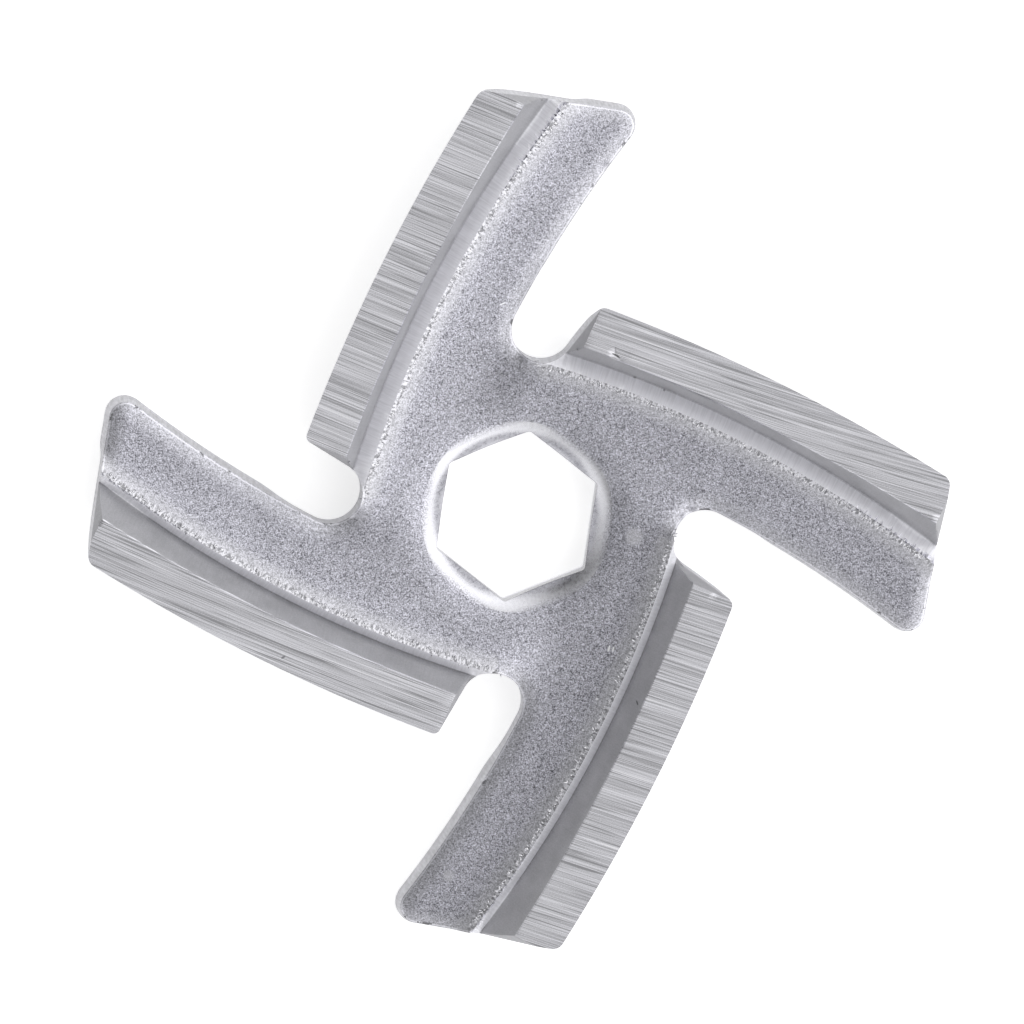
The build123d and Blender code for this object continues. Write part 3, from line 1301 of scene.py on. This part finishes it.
class Tree:
    """A node tree under construction."""

    def __init__(self, owner: "bpy.types.Material | bpy.types.World | bpy.types.GeometryNodeTree") -> None:
        """Clears the owner's tree.

        Args:
            owner: A material, a world, or a geometry tree itself.
        """
        self.owner = owner
        tree = owner
        if not isinstance(owner, bpy.types.NodeTree):
            owner.use_nodes = True
            tree = owner.node_tree
        self.nodes = tree.nodes
        self.links = tree.links
        self.nodes.clear()

    def add(self, kind: str, settings: dict[str, object], values: dict[str | int, object]) -> Placed:
        """Adds a node.

        Args:
            kind: The node's type.
            settings: Its own settings, set first.
            values: What each socket, by name or place, is set or linked to.

        Returns:
            The placed node.
        """
        node = self.nodes.new(kind)
        for name, value in settings.items():
            setattr(node, name, value)
        for name, value in values.items():
            if isinstance(value, Flow):
                self.links.new(value.socket, node.inputs[name])
            else:
                node.inputs[name].default_value = value
        return Placed(self, node)

    def place(self) -> Flow:
        """The Object coordinates."""
        return self.add("ShaderNodeTexCoord", {}, {}).out("Object")

    def vector(self, operation: str, a: object, b: object, out: int = 0) -> Flow:
        """One Vector Math node."""
        return self.add("ShaderNodeVectorMath", {"operation": operation}, {0: a, 1: b}).out(out)

    def noise(self, at: Flow, grain: "Grain") -> Flow:
        """Noise of a given grain, centred on one half."""
        values = {"Vector": at, "Scale": grain.scale, "Detail": grain.detail, "Roughness": grain.rough}
        return self.add("ShaderNodeTexNoise", {}, values).out("Fac")

    def lines(self, along: Flow, across: Flow, lines: "Lines") -> Flow:
        """Noise drawn out into lines."""
        at = self.joined(along * lines.along, across * lines.across, lines.shift)
        return self.noise(at, Grain(1.0, lines.detail, lines.rough))

    def blend(self, under: Flow | Triple, over: Flow | Triple, share: Flow) -> Flow:
        """One colour laid over another, as much of it as the share says."""
        a, b = (c if isinstance(c, Flow) else (*c, 1.0) for c in (under, over))
        return self.add("ShaderNodeMix", {"data_type": "RGBA"}, {0: share, 6: a, 7: b}).out(2)

    def tones(self, dark: float, light: float, mark: Flow, low: float, high: float) -> Flow:
        """A grey that runs from dark to light as a mark runs from low to high."""
        return self.blend(grey(dark), grey(light), mark.spread(low, high))

    def random(self, low: Triple, high: Triple, seed: Flow) -> Flow:
        """A random vector for each point, between a low and a high one."""
        values = {0: low, 1: high, "Seed": seed}
        return self.add("FunctionNodeRandomValue", {"data_type": "FLOAT_VECTOR"}, values).out()

    def gauge(self, name: str) -> Flow:
        """One of the mesh's measures, in millimetres."""
        return self.add("ShaderNodeAttribute", {"attribute_name": name}, {}).out("Fac")

    def joined(self, x: Flow | float, y: Flow | float, z: Flow | float = 0.0) -> Flow:
        """A vector from three values."""
        return self.add("ShaderNodeCombineXYZ", {}, {0: x, 1: y, 2: z}).out()

    def marked(self, colour: Flow, at: Flow, marks: "tuple[Spot, ...]") -> Flow:
        """A colour with marks laid over it.

        Args:
            colour: The colour.
            at: The place on the object.
            marks: The marks, the last one on top.

        Returns:
            The marked colour.
        """
        for mark in marks:
            colour = self.blend(colour, grey(mark.level), mark.share(self, at))
        return colour

    def steel(
        self, colour: Flow, mark: Flow, height: Flow, polish: "Polish", metallic: Flow | float = 1.0
    ) -> bpy.types.Material:
        """Ends the tree in bare steel.

        Args:
            colour: The reflected colour.
            mark: The marks that make it rougher.
            height: Its relief, from 0 to 1.
            polish: How rough and how deep they are.
            metallic: Less than 1 where the surface scatters as much as it mirrors.

        Returns:
            The material.
        """
        rough = mark.spread(*MOST_MARKS, polish.smooth, polish.rough)
        bump = {"Strength": polish.relief, "Distance": polish.depth * MM, "Height": height}
        normal = self.add("ShaderNodeBump", {}, bump).out()
        values = {"Base Color": colour, "Roughness": rough, "Normal": normal, "Metallic": metallic}
        shader = self.add("ShaderNodeBsdfPrincipled", {}, values).out()
        self.add("ShaderNodeOutputMaterial", {}, {"Surface": shader})
        return self.owner


def grey(level: float, cool: float = 0.05) -> Triple:
    """Steel's grey at a level, a little bluer than neutral."""
    return tuple(level * (1 + cool * shift) for shift in COOL_SHIFT)


# --- the finishes ----------------------------------------------------------------------------


@dataclass(frozen=True)
class Grain:
    """A noise: how many grains to the metre, their detail and their roughness."""

    scale: float
    detail: float = 2.0
    rough: float = 0.5


@dataclass(frozen=True)
class Lines:
    """Noise drawn out into lines: how often it changes along and across them, and its detail."""

    along: float
    across: float
    detail: float = 2.0
    rough: float = 0.5
    shift: float = 0.0  # takes another part of the noise


@dataclass(frozen=True)
class Polish:
    """How rough a finish is where its marks are low and high, and its relief's share and depth."""

    smooth: float
    rough: float
    relief: float
    depth: float  # in millimetres


@dataclass(frozen=True)
class Spot:
    """A round mark, a pit or a short scratch that a finish shows, in millimetres."""

    at: Pair
    reach: Pair
    angle: float
    level: float
    strength: float = 0.6
    soft_edge: Pair = (0.5, 1.3)

    def share(self, t: Tree, at: Flow) -> Flow:
        """How much of a place the mark covers.

        Args:
            t: The material's tree.
            at: The place on the object.

        Returns:
            The share.
        """
        turn = math.radians(self.angle)
        long, wide = self.reach
        along = (math.cos(turn) / long / MM, math.sin(turn) / long / MM, 0.0)
        across = (-math.sin(turn) / wide / MM, math.cos(turn) / wide / MM, 0.0)
        off = t.vector("SUBTRACT", at, (self.at[0] * MM, self.at[1] * MM, 0.0))
        far = t.vector("DOT_PRODUCT", off, along, 1) ** 2.0 + t.vector("DOT_PRODUCT", off, across, 1) ** 2.0
        return (1.0 - far.spread(*self.soft_edge)) * self.strength


@dataclass(frozen=True)
class GroundFlat:
    """The cutting flats: surface-ground, with long fine lines that bow with the wheel."""

    wheel: Triple = (0.117, 0.312, 0.0)
    run: Triple = (0.937, -0.35, 0.0)
    fine: Lines = Lines(110.0, 15500.0, 2.0, 0.65)
    broad: Lines = Lines(50.0, 4200.0, 2.0, 0.55, 3.0)
    cut: Lines = Lines(150.0, 9500.0, 1.0, 0.5, 9.0)
    grit: Grain = Grain(15000.0, 1.0, 0.5)
    dark: float = 0.36
    light: float = 1.0
    polish: Polish = Polish(0.3, 0.44, 0.4, 0.012)
    marks: tuple[Spot, ...] = (
        Spot((5.6, 10.35), (0.26, 0.08), -25.0, 1.0, 0.9),
        Spot((5.9, 10.15), (0.3, 0.06), -30.0, 0.15, 0.9),
        Spot((-14.5, -8.3), (0.14, 0.07), 30.0, 0.2, 0.8),
    )

    def material(self) -> bpy.types.Material:
        """The flats' finish: fine and broad lines, grit, and single deeper cuts.

        Returns:
            The material.
        """
        t = Tree(bpy.data.materials.new("ground_flat"))
        at = t.place()
        from_wheel = t.vector("DISTANCE", at, self.wheel, 1)
        along = t.vector("DOT_PRODUCT", at, self.run, 1)
        fine, broad, cut = (t.lines(along, from_wheel, lines) for lines in (self.fine, self.broad, self.cut))
        mark = fine * 0.56 + broad * 0.26 + t.noise(at, self.grit) * 0.18
        scratch = cut.spread(0.58, 0.7)
        tone = (mark.spread(0.36, 0.64) - scratch * 0.75).at_least(0.0)
        colour = t.marked(t.blend(grey(self.dark), grey(self.light), tone), at, self.marks)
        return t.steel(colour, mark, mark - scratch * 0.4, self.polish)


@dataclass(frozen=True)
class PressedWall:
    """The groove: a smooth wall, a crease, and a band with the punch's drawn streaks, painted near white as a
    painted highlight.
    """

    wall: float = 0.42
    # painted highlight: the band's near-white level brightens it past the light that reaches it, over the
    # punch's real drawn streaks
    band: float = 0.98
    crease_at: float = -0.62
    drawn: Lines = Lines(9.0, 1.0, 2.0, 0.6)
    grain: Grain = Grain(11000.0, 2.0, 0.6)
    cloud: Grain = Grain(600.0)
    metallic: Pair = (0.16, 0.06)
    polish: Polish = Polish(0.42, 0.56, 0.35, 0.02)
    marks: tuple[Spot, ...] = (
        Spot((7.2, 8.6), (0.1, 0.08), 0.0, 0.2),
        Spot((9.0, 7.8), (0.08, 0.08), 0.0, 0.2),
        Spot((7.25, -11.3), (0.05, 0.14), 15.0, 0.1, 0.9),
        Spot((1.45, 25.7), (0.07, 0.07), 0.0, 0.2),
    )

    def material(self) -> bpy.types.Material:
        """The groove's finish: a clouded wall, and a band streaked from the crest down, painted whiter toward
        the crest as a painted highlight.

        Returns:
            The material.
        """
        t = Tree(bpy.data.materials.new("pressed_wall"))
        at = t.place()
        behind, along = t.gauge("behind_crest"), t.gauge("along_crest")
        drawn = t.lines(along, behind, self.drawn)
        on_band = behind.spread(self.crease_at - 0.02, self.crease_at + 0.06)
        # painted highlight: the band turns whiter toward the crest
        white = behind.spread(-0.3, -0.02)
        mark = t.noise(at, self.grain) * 0.45 + t.noise(at, self.cloud) * 0.35 + drawn * 0.2
        plain = t.tones(self.wall - 0.07, self.wall + 0.07, mark, 0.36, 0.64)
        # the drawn streaks are the band's own; the share that whitens toward the crest is painted highlight
        streak_and_sheen = drawn.spread(0.32, 0.68) * 0.6 + white * 0.4
        band = t.tones(self.band - 0.16, self.band + 0.04, streak_and_sheen, 0.05, 0.95)
        colour = t.marked(t.blend(plain, band, on_band), at, self.marks)
        metal = on_band.spread(0.0, 1.0, *self.metallic)
        return t.steel(colour, mark, mark * 0.5 + drawn * on_band, self.polish, metal)


@dataclass(frozen=True)
class BlastedWeb:
    """The web, swell and hub: a fine sparkling grain, torn white along the crest, with chips and a painted
    highlight line along the rim.
    """

    dark: float = 0.08
    light: float = 0.92
    grain: Grain = Grain(11500.0, 2.0, 0.75)
    clump: Grain = Grain(5175.0, 1.0, 0.5)
    cloud: Grain = Grain(420.0)
    chips: Grain = Grain(1500.0, 3.0, 0.6)
    torn: Lines = Lines(5.5, 3.2, 3.0, 0.65, 5.0)
    polish: Polish = Polish(0.34, 0.48, 0.5, 0.04)
    marks: tuple[Spot, ...] = (
        Spot((7.15, -1.25), (0.53, 0.53), 0.0, 0.85, 0.45),
        Spot((-4.25, -22.1), (0.35, 0.35), 0.0, 0.7, 0.5),
        Spot((5.6, -8.1), (0.22, 0.07), 75.0, 1.0, 1.0),
        Spot((5.85, -8.15), (0.18, 0.06), 75.0, 1.0, 1.0),
        Spot((-3.95, -6.9), (0.34, 0.05), -70.0, 0.2),
        Spot((-0.9, 13.15), (0.22, 0.05), 20.0, 1.0, 0.9),
        Spot((4.85, -11.2), (0.09, 0.09), 0.0, 1.0, 0.9),
        Spot((4.0, -13.1), (0.07, 0.07), 0.0, 1.0, 0.9),
        Spot((0.8, -17.4), (0.07, 0.07), 0.0, 1.0, 0.9),
    )

    def material(self) -> bpy.types.Material:
        """The web's finish: grain, smeared and torn by the crest, with chips and a painted highlight line at
        the rim.

        Returns:
            The material.
        """
        t = Tree(bpy.data.materials.new("blasted_web"))
        at = t.place()
        behind, along, rim = t.gauge("behind_crest"), t.gauge("along_crest"), t.gauge("from_rim")
        grain, clump = t.noise(at, self.grain), t.noise(at, self.clump)
        speck = grain * 0.8 + clump * 0.2
        tone = speck.spread(0.35, 0.65) * 0.94 + t.noise(at, self.cloud).spread(*MOST_MARKS) * 0.06
        web = t.blend(grey(self.dark, 0.14), grey(self.light, 0.1), tone)
        torn = t.lines(along, behind, self.torn)
        smear = 1.0 - (behind - clump * 0.6).spread(0.35, 1.0)
        smooth = t.tones(0.42, 0.8, speck, 0.34, 0.66)
        tear = t.tones(0.22, 0.92, torn, 0.42, 0.56)
        on_crest = 1.0 - behind.spread(0.25, 0.55)
        web = t.blend(web, smooth, smear * 0.6)
        web = t.blend(web, tear, on_crest * 0.75)
        edge = 1.0 - (rim - clump * 0.5).spread(0.1, 0.9)
        web = t.blend(web, smooth, edge * 0.45)
        # painted highlight: a thin white line along the rolled rim
        line = (rim.spread(0.02, 0.07) - rim.spread(0.07, 0.16)).at_least(0.0)
        web = t.blend(web, grey(1.0), line * 0.7)
        pits = t.noise(at, self.chips).spread(0.6, 0.64) * (1.0 - rim.spread(0.1, 0.2))
        web = t.marked(t.blend(web, grey(0.1), pits * 0.85), at, self.marks)
        return t.steel(web, grain, speck + torn * on_crest * 1.5, self.polish)


@dataclass(frozen=True)
class PunchedBore:
    """The drive hole's rounded entry and flats: smooth, with the punch's fine drawing lines."""

    level: float = 0.76
    stretch: Triple = (5000.0, 5000.0, 350.0)
    drawn: Grain = Grain(1.0)
    grain: Grain = Grain(11500.0, 2.0, 0.75)
    polish: Polish = Polish(0.22, 0.36, 0.25, 0.01)

    def material(self) -> bpy.types.Material:
        """The drive hole's finish: drawn metal with a dark lip, and the web's grain at its mouth.

        Returns:
            The material.
        """
        t = Tree(bpy.data.materials.new("punched_bore"))
        at = t.place()
        rim = t.gauge("from_rim")
        grain = t.noise(at, self.grain)
        mark = t.noise(t.vector("MULTIPLY", at, self.stretch), self.drawn) * 0.6 + grain * 0.4
        height = t.vector("DOT_PRODUCT", at, (0.0, 0.0, 1 / MM), 1)
        lip = (1.0 - rim.spread(0.0, 0.06)) * height.spread(0.5, 0.7)
        smooth = t.tones(self.level - 0.08, self.level + 0.08, mark, 0.35, 0.65)
        rough = t.blend(grey(0.1, 0.14), grey(0.9, 0.1), grain.spread(0.35, 0.65))
        colour = t.blend(t.blend(smooth, rough, rim.spread(0.7, 1.25)), grey(0.3), lip * 0.7)
        return t.steel(colour, mark, mark, self.polish)


@dataclass(frozen=True)
class ShearedRim:
    """The blank's cut edge, drawn by the punch."""

    level: float = 0.56
    stretch: Triple = (6000.0, 6000.0, 400.0)
    drawn: Grain = Grain(1.0, 2.0, 0.6)
    cloud: Grain = Grain(900.0, 3.0, 0.55)
    metallic: float = 0.75
    polish: Polish = Polish(0.4, 0.55, 0.4, 0.02)

    def material(self) -> bpy.types.Material:
        """The cut edge's finish: lines drawn through the sheet, and a soft cloud.

        Returns:
            The material.
        """
        t = Tree(bpy.data.materials.new("sheared_rim"))
        at = t.place()
        drawn = t.noise(t.vector("MULTIPLY", at, self.stretch), self.drawn)
        mark = drawn * 0.6 + t.noise(at, self.cloud) * 0.4
        colour = t.tones(self.level - 0.16, self.level + 0.1, mark, 0.35, 0.65)
        return t.steel(colour, mark, mark, self.polish, self.metallic)


@dataclass(frozen=True)
class TumbledBack:
    """The back and the bend's outside: rolled sheet, tumbled after stamping."""

    level: float = 0.42
    stretch: Triple = (350.0, 3200.0, 350.0)
    grain: Grain = Grain(7000.0, 3.0, 0.65)
    cloud: Grain = Grain(300.0, 3.0, 0.5)
    rolled: Grain = Grain(1.0)
    metallic: float = 0.9
    polish: Polish = Polish(0.38, 0.52, 0.5, 0.03)

    def material(self) -> bpy.types.Material:
        """The back's finish: grain, cloud and the mill's faint lines.

        Returns:
            The material.
        """
        t = Tree(bpy.data.materials.new("tumbled_back"))
        at = t.place()
        rolled = t.noise(t.vector("MULTIPLY", at, self.stretch), self.rolled)
        mark = t.noise(at, self.grain) * 0.55 + t.noise(at, self.cloud) * 0.25 + rolled * 0.2
        colour = t.tones(self.level - 0.16, self.level + 0.16, mark, 0.36, 0.64)
        return t.steel(colour, mark, mark, self.polish, self.metallic)


@dataclass(frozen=True)
class TornMetal:
    """The burr's teeth: bright where they were torn, dark in their pits."""

    speck: Grain = Grain(9000.0, 2.0, 0.6)
    dark: float = 0.3
    light: float = 1.0
    polish: Polish = Polish(0.3, 0.45, 0.4, 0.02)

    def material(self) -> bpy.types.Material:
        """The teeth's finish: a speck of bright and dark.

        Returns:
            The material.
        """
        t = Tree(bpy.data.materials.new("torn_metal"))
        speck = t.noise(t.place(), self.speck)
        colour = t.tones(self.dark, self.light, speck, 0.38, 0.56)
        return t.steel(colour, speck, speck, self.polish)


# --- the torn crest --------------------------------------------------------------------------


@dataclass
class CrestBurr:
    """The row of small torn teeth that the groove's punch left along each crest, in millimetres."""

    form: KnifeForm
    material: bpy.types.Material
    gap: float = 0.2
    line_step: float = 0.3
    sink: float = 0.01
    pitch: float = 0.12
    scatter: float = 0.13
    stray: Triple = (1.0, 1.0, 0.1)
    swing: Triple = (0.12, 0.3, 0.55)
    smallest: Triple = (0.08, 0.03, 0.02)
    largest: Triple = (0.24, 0.065, 0.05)
    segments: int = 7
    rings: int = 4
    seed: int = 11

    def build(self) -> bpy.types.Object:
        """Builds the teeth of all the arms.

        Returns:
            The object, a plain mesh at the origin.
        """
        burr = bpy.data.objects.new("crest_burr", self.paths())
        bpy.context.scene.collection.objects.link(burr)
        tree = self.tree()
        modifier = burr.modifiers.new("teeth", "NODES")
        modifier.node_group = tree
        sizes = {"Pitch": self.pitch * MM, "Scatter": self.scatter * MM, "Seed": self.seed}
        for item in tree.interface.items_tree:
            if item.in_out == "INPUT" and item.name in sizes:
                modifier[item.identifier] = sizes[item.name]
        placed = burr.evaluated_get(bpy.context.evaluated_depsgraph_get())
        teeth = bpy.data.meshes.new_from_object(placed)
        burr.modifiers.clear()
        burr.data = teeth
        LOG.info("crest burr: %d triangles", len(teeth.polygons))
        return burr

    def paths(self) -> bpy.types.Mesh:
        """The lines that the teeth stand on, one for each arm.

        Returns:
            A mesh of edges.
        """
        line = self.form.crest_line(self.gap, self.line_step)
        points, edges = [], []
        for step in range(ARMS):
            first = len(points)
            turned = quarter_turns(line[:, :2], step)
            points += [(x * MM, y * MM, (z - self.sink) * MM) for (x, y), z in zip(turned, line[:, 2])]
            edges += [(i, i + 1) for i in range(first, len(points) - 1)]
        mesh = bpy.data.meshes.new("crest_lines")
        mesh.from_pydata(points, edges, [])
        return mesh

    def tree(self) -> bpy.types.GeometryNodeTree:
        """The tree that sets a tooth at each step of a line, across it and a little off it.

        Returns:
            The tree, whose inputs are the pitch, the scatter and the seed.
        """
        group = bpy.data.node_groups.new("torn_teeth", "GeometryNodeTree")
        inputs = {"Geometry": "Geometry", "Pitch": "Float", "Scatter": "Float", "Seed": "Int"}
        for name, kind in inputs.items():
            group.interface.new_socket(name, in_out="INPUT", socket_type="NodeSocket" + kind)
        group.interface.new_socket("Geometry", in_out="OUTPUT", socket_type="NodeSocketGeometry")
        t = Tree(group)
        given = t.add("NodeGroupInput", {}, {})
        seed = given.out("Seed")
        curve = t.add("GeometryNodeMeshToCurve", {}, {0: given.out("Geometry")}).out()
        values = {"Curve": curve, "Length": given.out("Pitch")}
        places = t.add("GeometryNodeResampleCurve", {"mode": "LENGTH"}, values).out()
        tangent = t.add("GeometryNodeInputTangent", {}, {}).out()
        facing = {"axis": "Y", "pivot_axis": "Z"}
        upright = t.add("FunctionNodeAlignRotationToVector", facing, {"Vector": tangent}).out()
        swing = t.random(tuple(-v for v in self.swing), self.swing, seed)
        swung = t.add("FunctionNodeRotateRotation", {"rotation_space": "LOCAL"}, {0: upright, 1: swing}).out()
        stray = t.random(tuple(-v for v in self.stray), self.stray, seed + 1.0)
        values = {0: stray, "Scale": given.out("Scatter")}
        offset = t.add("ShaderNodeVectorMath", {"operation": "SCALE"}, values).out()
        moved = t.add("GeometryNodeSetPosition", {}, {"Geometry": places, "Offset": offset}).out()
        small, large = (tuple(v * MM for v in size) for size in (self.smallest, self.largest))
        size = t.random(small, large, seed + 2.0)
        values = {"Segments": self.segments, "Rings": self.rings, "Radius": 1.0}
        tooth = t.add("GeometryNodeMeshUVSphere", {}, values).out()
        values = {"Points": moved, "Instance": tooth, "Rotation": swung, "Scale": size}
        teeth = t.add("GeometryNodeInstanceOnPoints", {}, values).out()
        real = t.add("GeometryNodeRealizeInstances", {}, {0: teeth}).out()
        smooth = t.add("GeometryNodeSetShadeSmooth", {}, {0: real}).out()
        dressed = t.add("GeometryNodeSetMaterial", {}, {"Geometry": smooth, "Material": self.material}).out()
        t.add("NodeGroupOutput", {}, {0: dressed})
        return group


# --- studio --------------------------------------------------------------------------------


@dataclass(frozen=True)
class Lens:
    """A long lens above the knife, leaning a little to the far left."""

    focal: float = 703.1
    sensor: float = 36.0
    sees_to: float = 20.0
    right: Triple = (0.99848788, 0.0, 0.05497228)
    up: Triple = (0.00548807, 0.99500417, -0.09968246)
    back: Triple = (-0.05469764, 0.09983342, 0.9934996)
    pixel: float = 0.0612       # in millimetres on the cutting plane
    aim: Triple = (0.0, 0.0, 5.2)
    pixels_off: Triple = (-7.7, 9.1, 20000.0)

    def build(self) -> bpy.types.Object:
        """Builds the camera, placed so many pixels from its aim along its own axes.

        Returns:
            The camera.
        """
        lens = bpy.data.cameras.new("camera")
        lens.lens = self.focal
        lens.sensor_width = self.sensor
        lens.clip_end = self.sees_to
        axes = [Vector(axis) for axis in (self.right, self.up, self.back)]
        place = Vector(self.aim) * MM
        for axis, pixels in zip(axes, self.pixels_off):
            place = place + axis * pixels * (self.pixel * MM)
        camera = bpy.data.objects.new("camera", lens)
        camera.matrix_world = Matrix.Translation(place) @ Matrix(axes).transposed().to_4x4()
        return camera


@dataclass
class Studio:
    """A pale floor, a soft surround and the camera."""

    zenith: float = 0.61
    slope: Triple = (0.9, 0.07, 0.0)
    horizon: float = 0.62
    shade_toward: Triple = (-0.766, 0.643, 0.0)
    shade: float = 1.6
    shade_power: float = 3.0
    bank_toward: Triple = (-0.99, -0.14, 0.0)
    bank_edge: Pair = (0.52, 0.97)
    bank: float = 0.95
    bank_shade: float = 0.5
    darkest: float = 0.03
    brightest: float = 1.5
    floor_half: float = 3.0
    floor_drop: float = 0.00002
    floor_colour: float = 0.8
    floor_glow: float = 0.6
    lens: Lens = Lens()

    def build(self) -> bpy.types.Object:
        """Builds the floor, the surround and the camera.

        Returns:
            The floor.
        """
        scene = bpy.context.scene
        scene.view_settings.view_transform = "Standard"
        self.surround(scene)
        scene.camera = self.lens.build()
        scene.collection.objects.link(scene.camera)
        mesh = bpy.data.meshes.new("floor")
        half = self.floor_half
        corners = [(-half, -half, 0), (half, -half, 0), (half, half, 0), (-half, half, 0)]
        mesh.from_pydata(corners, [], [(0, 1, 2, 3)])
        floor = bpy.data.objects.new("floor", mesh)
        floor.location.z = -self.floor_drop
        scene.collection.objects.link(floor)
        mesh.materials.append(self.floor_material())
        return floor

    def seen(self, t: Tree) -> Flow:
        """1 for rays that show the background: from the camera, in metal or through glass.

        Args:
            t: The tree that asks.

        Returns:
            The value.
        """
        path = t.add("ShaderNodeLightPath", {}, {})
        shown = path.out("Is Camera Ray") + path.out("Is Glossy Ray") + path.out("Is Transmission Ray")
        return t.add("ShaderNodeClamp", {}, {0: shown}).out()

    def floor_material(self) -> bpy.types.Material:
        """A pale floor that shows white where no shadow falls.

        Returns:
            The material.
        """
        t = Tree(bpy.data.materials.new("pale_floor"))
        pale = t.add("ShaderNodeBsdfDiffuse", {}, {"Color": (self.floor_colour,) * 3 + (1.0,)}).out()
        values = {"Color": WHITE, "Strength": self.seen(t) * self.floor_glow}
        glow = t.add("ShaderNodeEmission", {}, values).out()
        both = t.add("ShaderNodeAddShader", {}, {0: pale, 1: glow}).out()
        t.add("ShaderNodeOutputMaterial", {}, {"Surface": both})
        return t.owner

    def surround(self, scene: bpy.types.Scene) -> None:
        """Builds the soft light from all round, and white where the camera looks past the floor.

        Args:
            scene: The scene, whose world is set.
        """
        scene.world = bpy.data.worlds.new("studio")
        t = Tree(scene.world)
        ray = t.add("ShaderNodeTexCoord", {}, {}).out("Generated")
        up = t.vector("DOT_PRODUCT", ray, (0.0, 0.0, 1.0), 1)
        low = 1.0 - up * up
        shade = t.vector("DOT_PRODUCT", ray, self.shade_toward, 1).at_least(0.0) ** self.shade_power
        across = t.vector("DOT_PRODUCT", ray, self.slope, 1)
        around_it = self.zenith + across + low * self.horizon * (1.0 - shade * self.shade)
        bank = t.vector("DOT_PRODUCT", ray, self.bank_toward, 1).spread(*self.bank_edge)
        level = around_it.at_least(self.darkest) + bank * (1.0 - shade * self.bank_shade) * self.bank
        level = level.spread(0.0, self.brightest, 0.0, self.brightest)
        light = t.add("ShaderNodeBackground", {}, {"Color": WHITE, "Strength": level}).out()
        white = t.add("ShaderNodeBackground", {}, {"Color": WHITE, "Strength": 1.0}).out()
        camera_ray = t.add("ShaderNodeLightPath", {}, {}).out("Is Camera Ray")
        mixed = t.add("ShaderNodeMixShader", {}, {0: camera_ray, 1: light, 2: white}).out()
        t.add("ShaderNodeOutputWorld", {}, {"Surface": mixed})


def main() -> None:
    """Builds the knife and the studio and reports each piece."""
    logging.basicConfig(level=logging.INFO, format="%(name)s: %(message)s")
    knife = Knife().build()
    finishes = (GroundFlat(), PressedWall(), BlastedWeb(), ShearedRim(), PunchedBore(), TumbledBack())
    for zone, finish in zip(Zone, finishes):
        knife.data.materials[zone.value] = finish.material()
        LOG.info("finish %s on zone %s", type(finish).__name__, zone.name)
    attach(knife, "root")
    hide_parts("knife")
    burr = CrestBurr(KnifeForm(), TornMetal().material()).build()
    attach(burr, "root")
    LOG.info("knife: %d triangles", len(knife.data.polygons))
    floor = Studio().build()
    LOG.info("studio: floor, surround and camera")


if __name__ == "__main__":
    main()
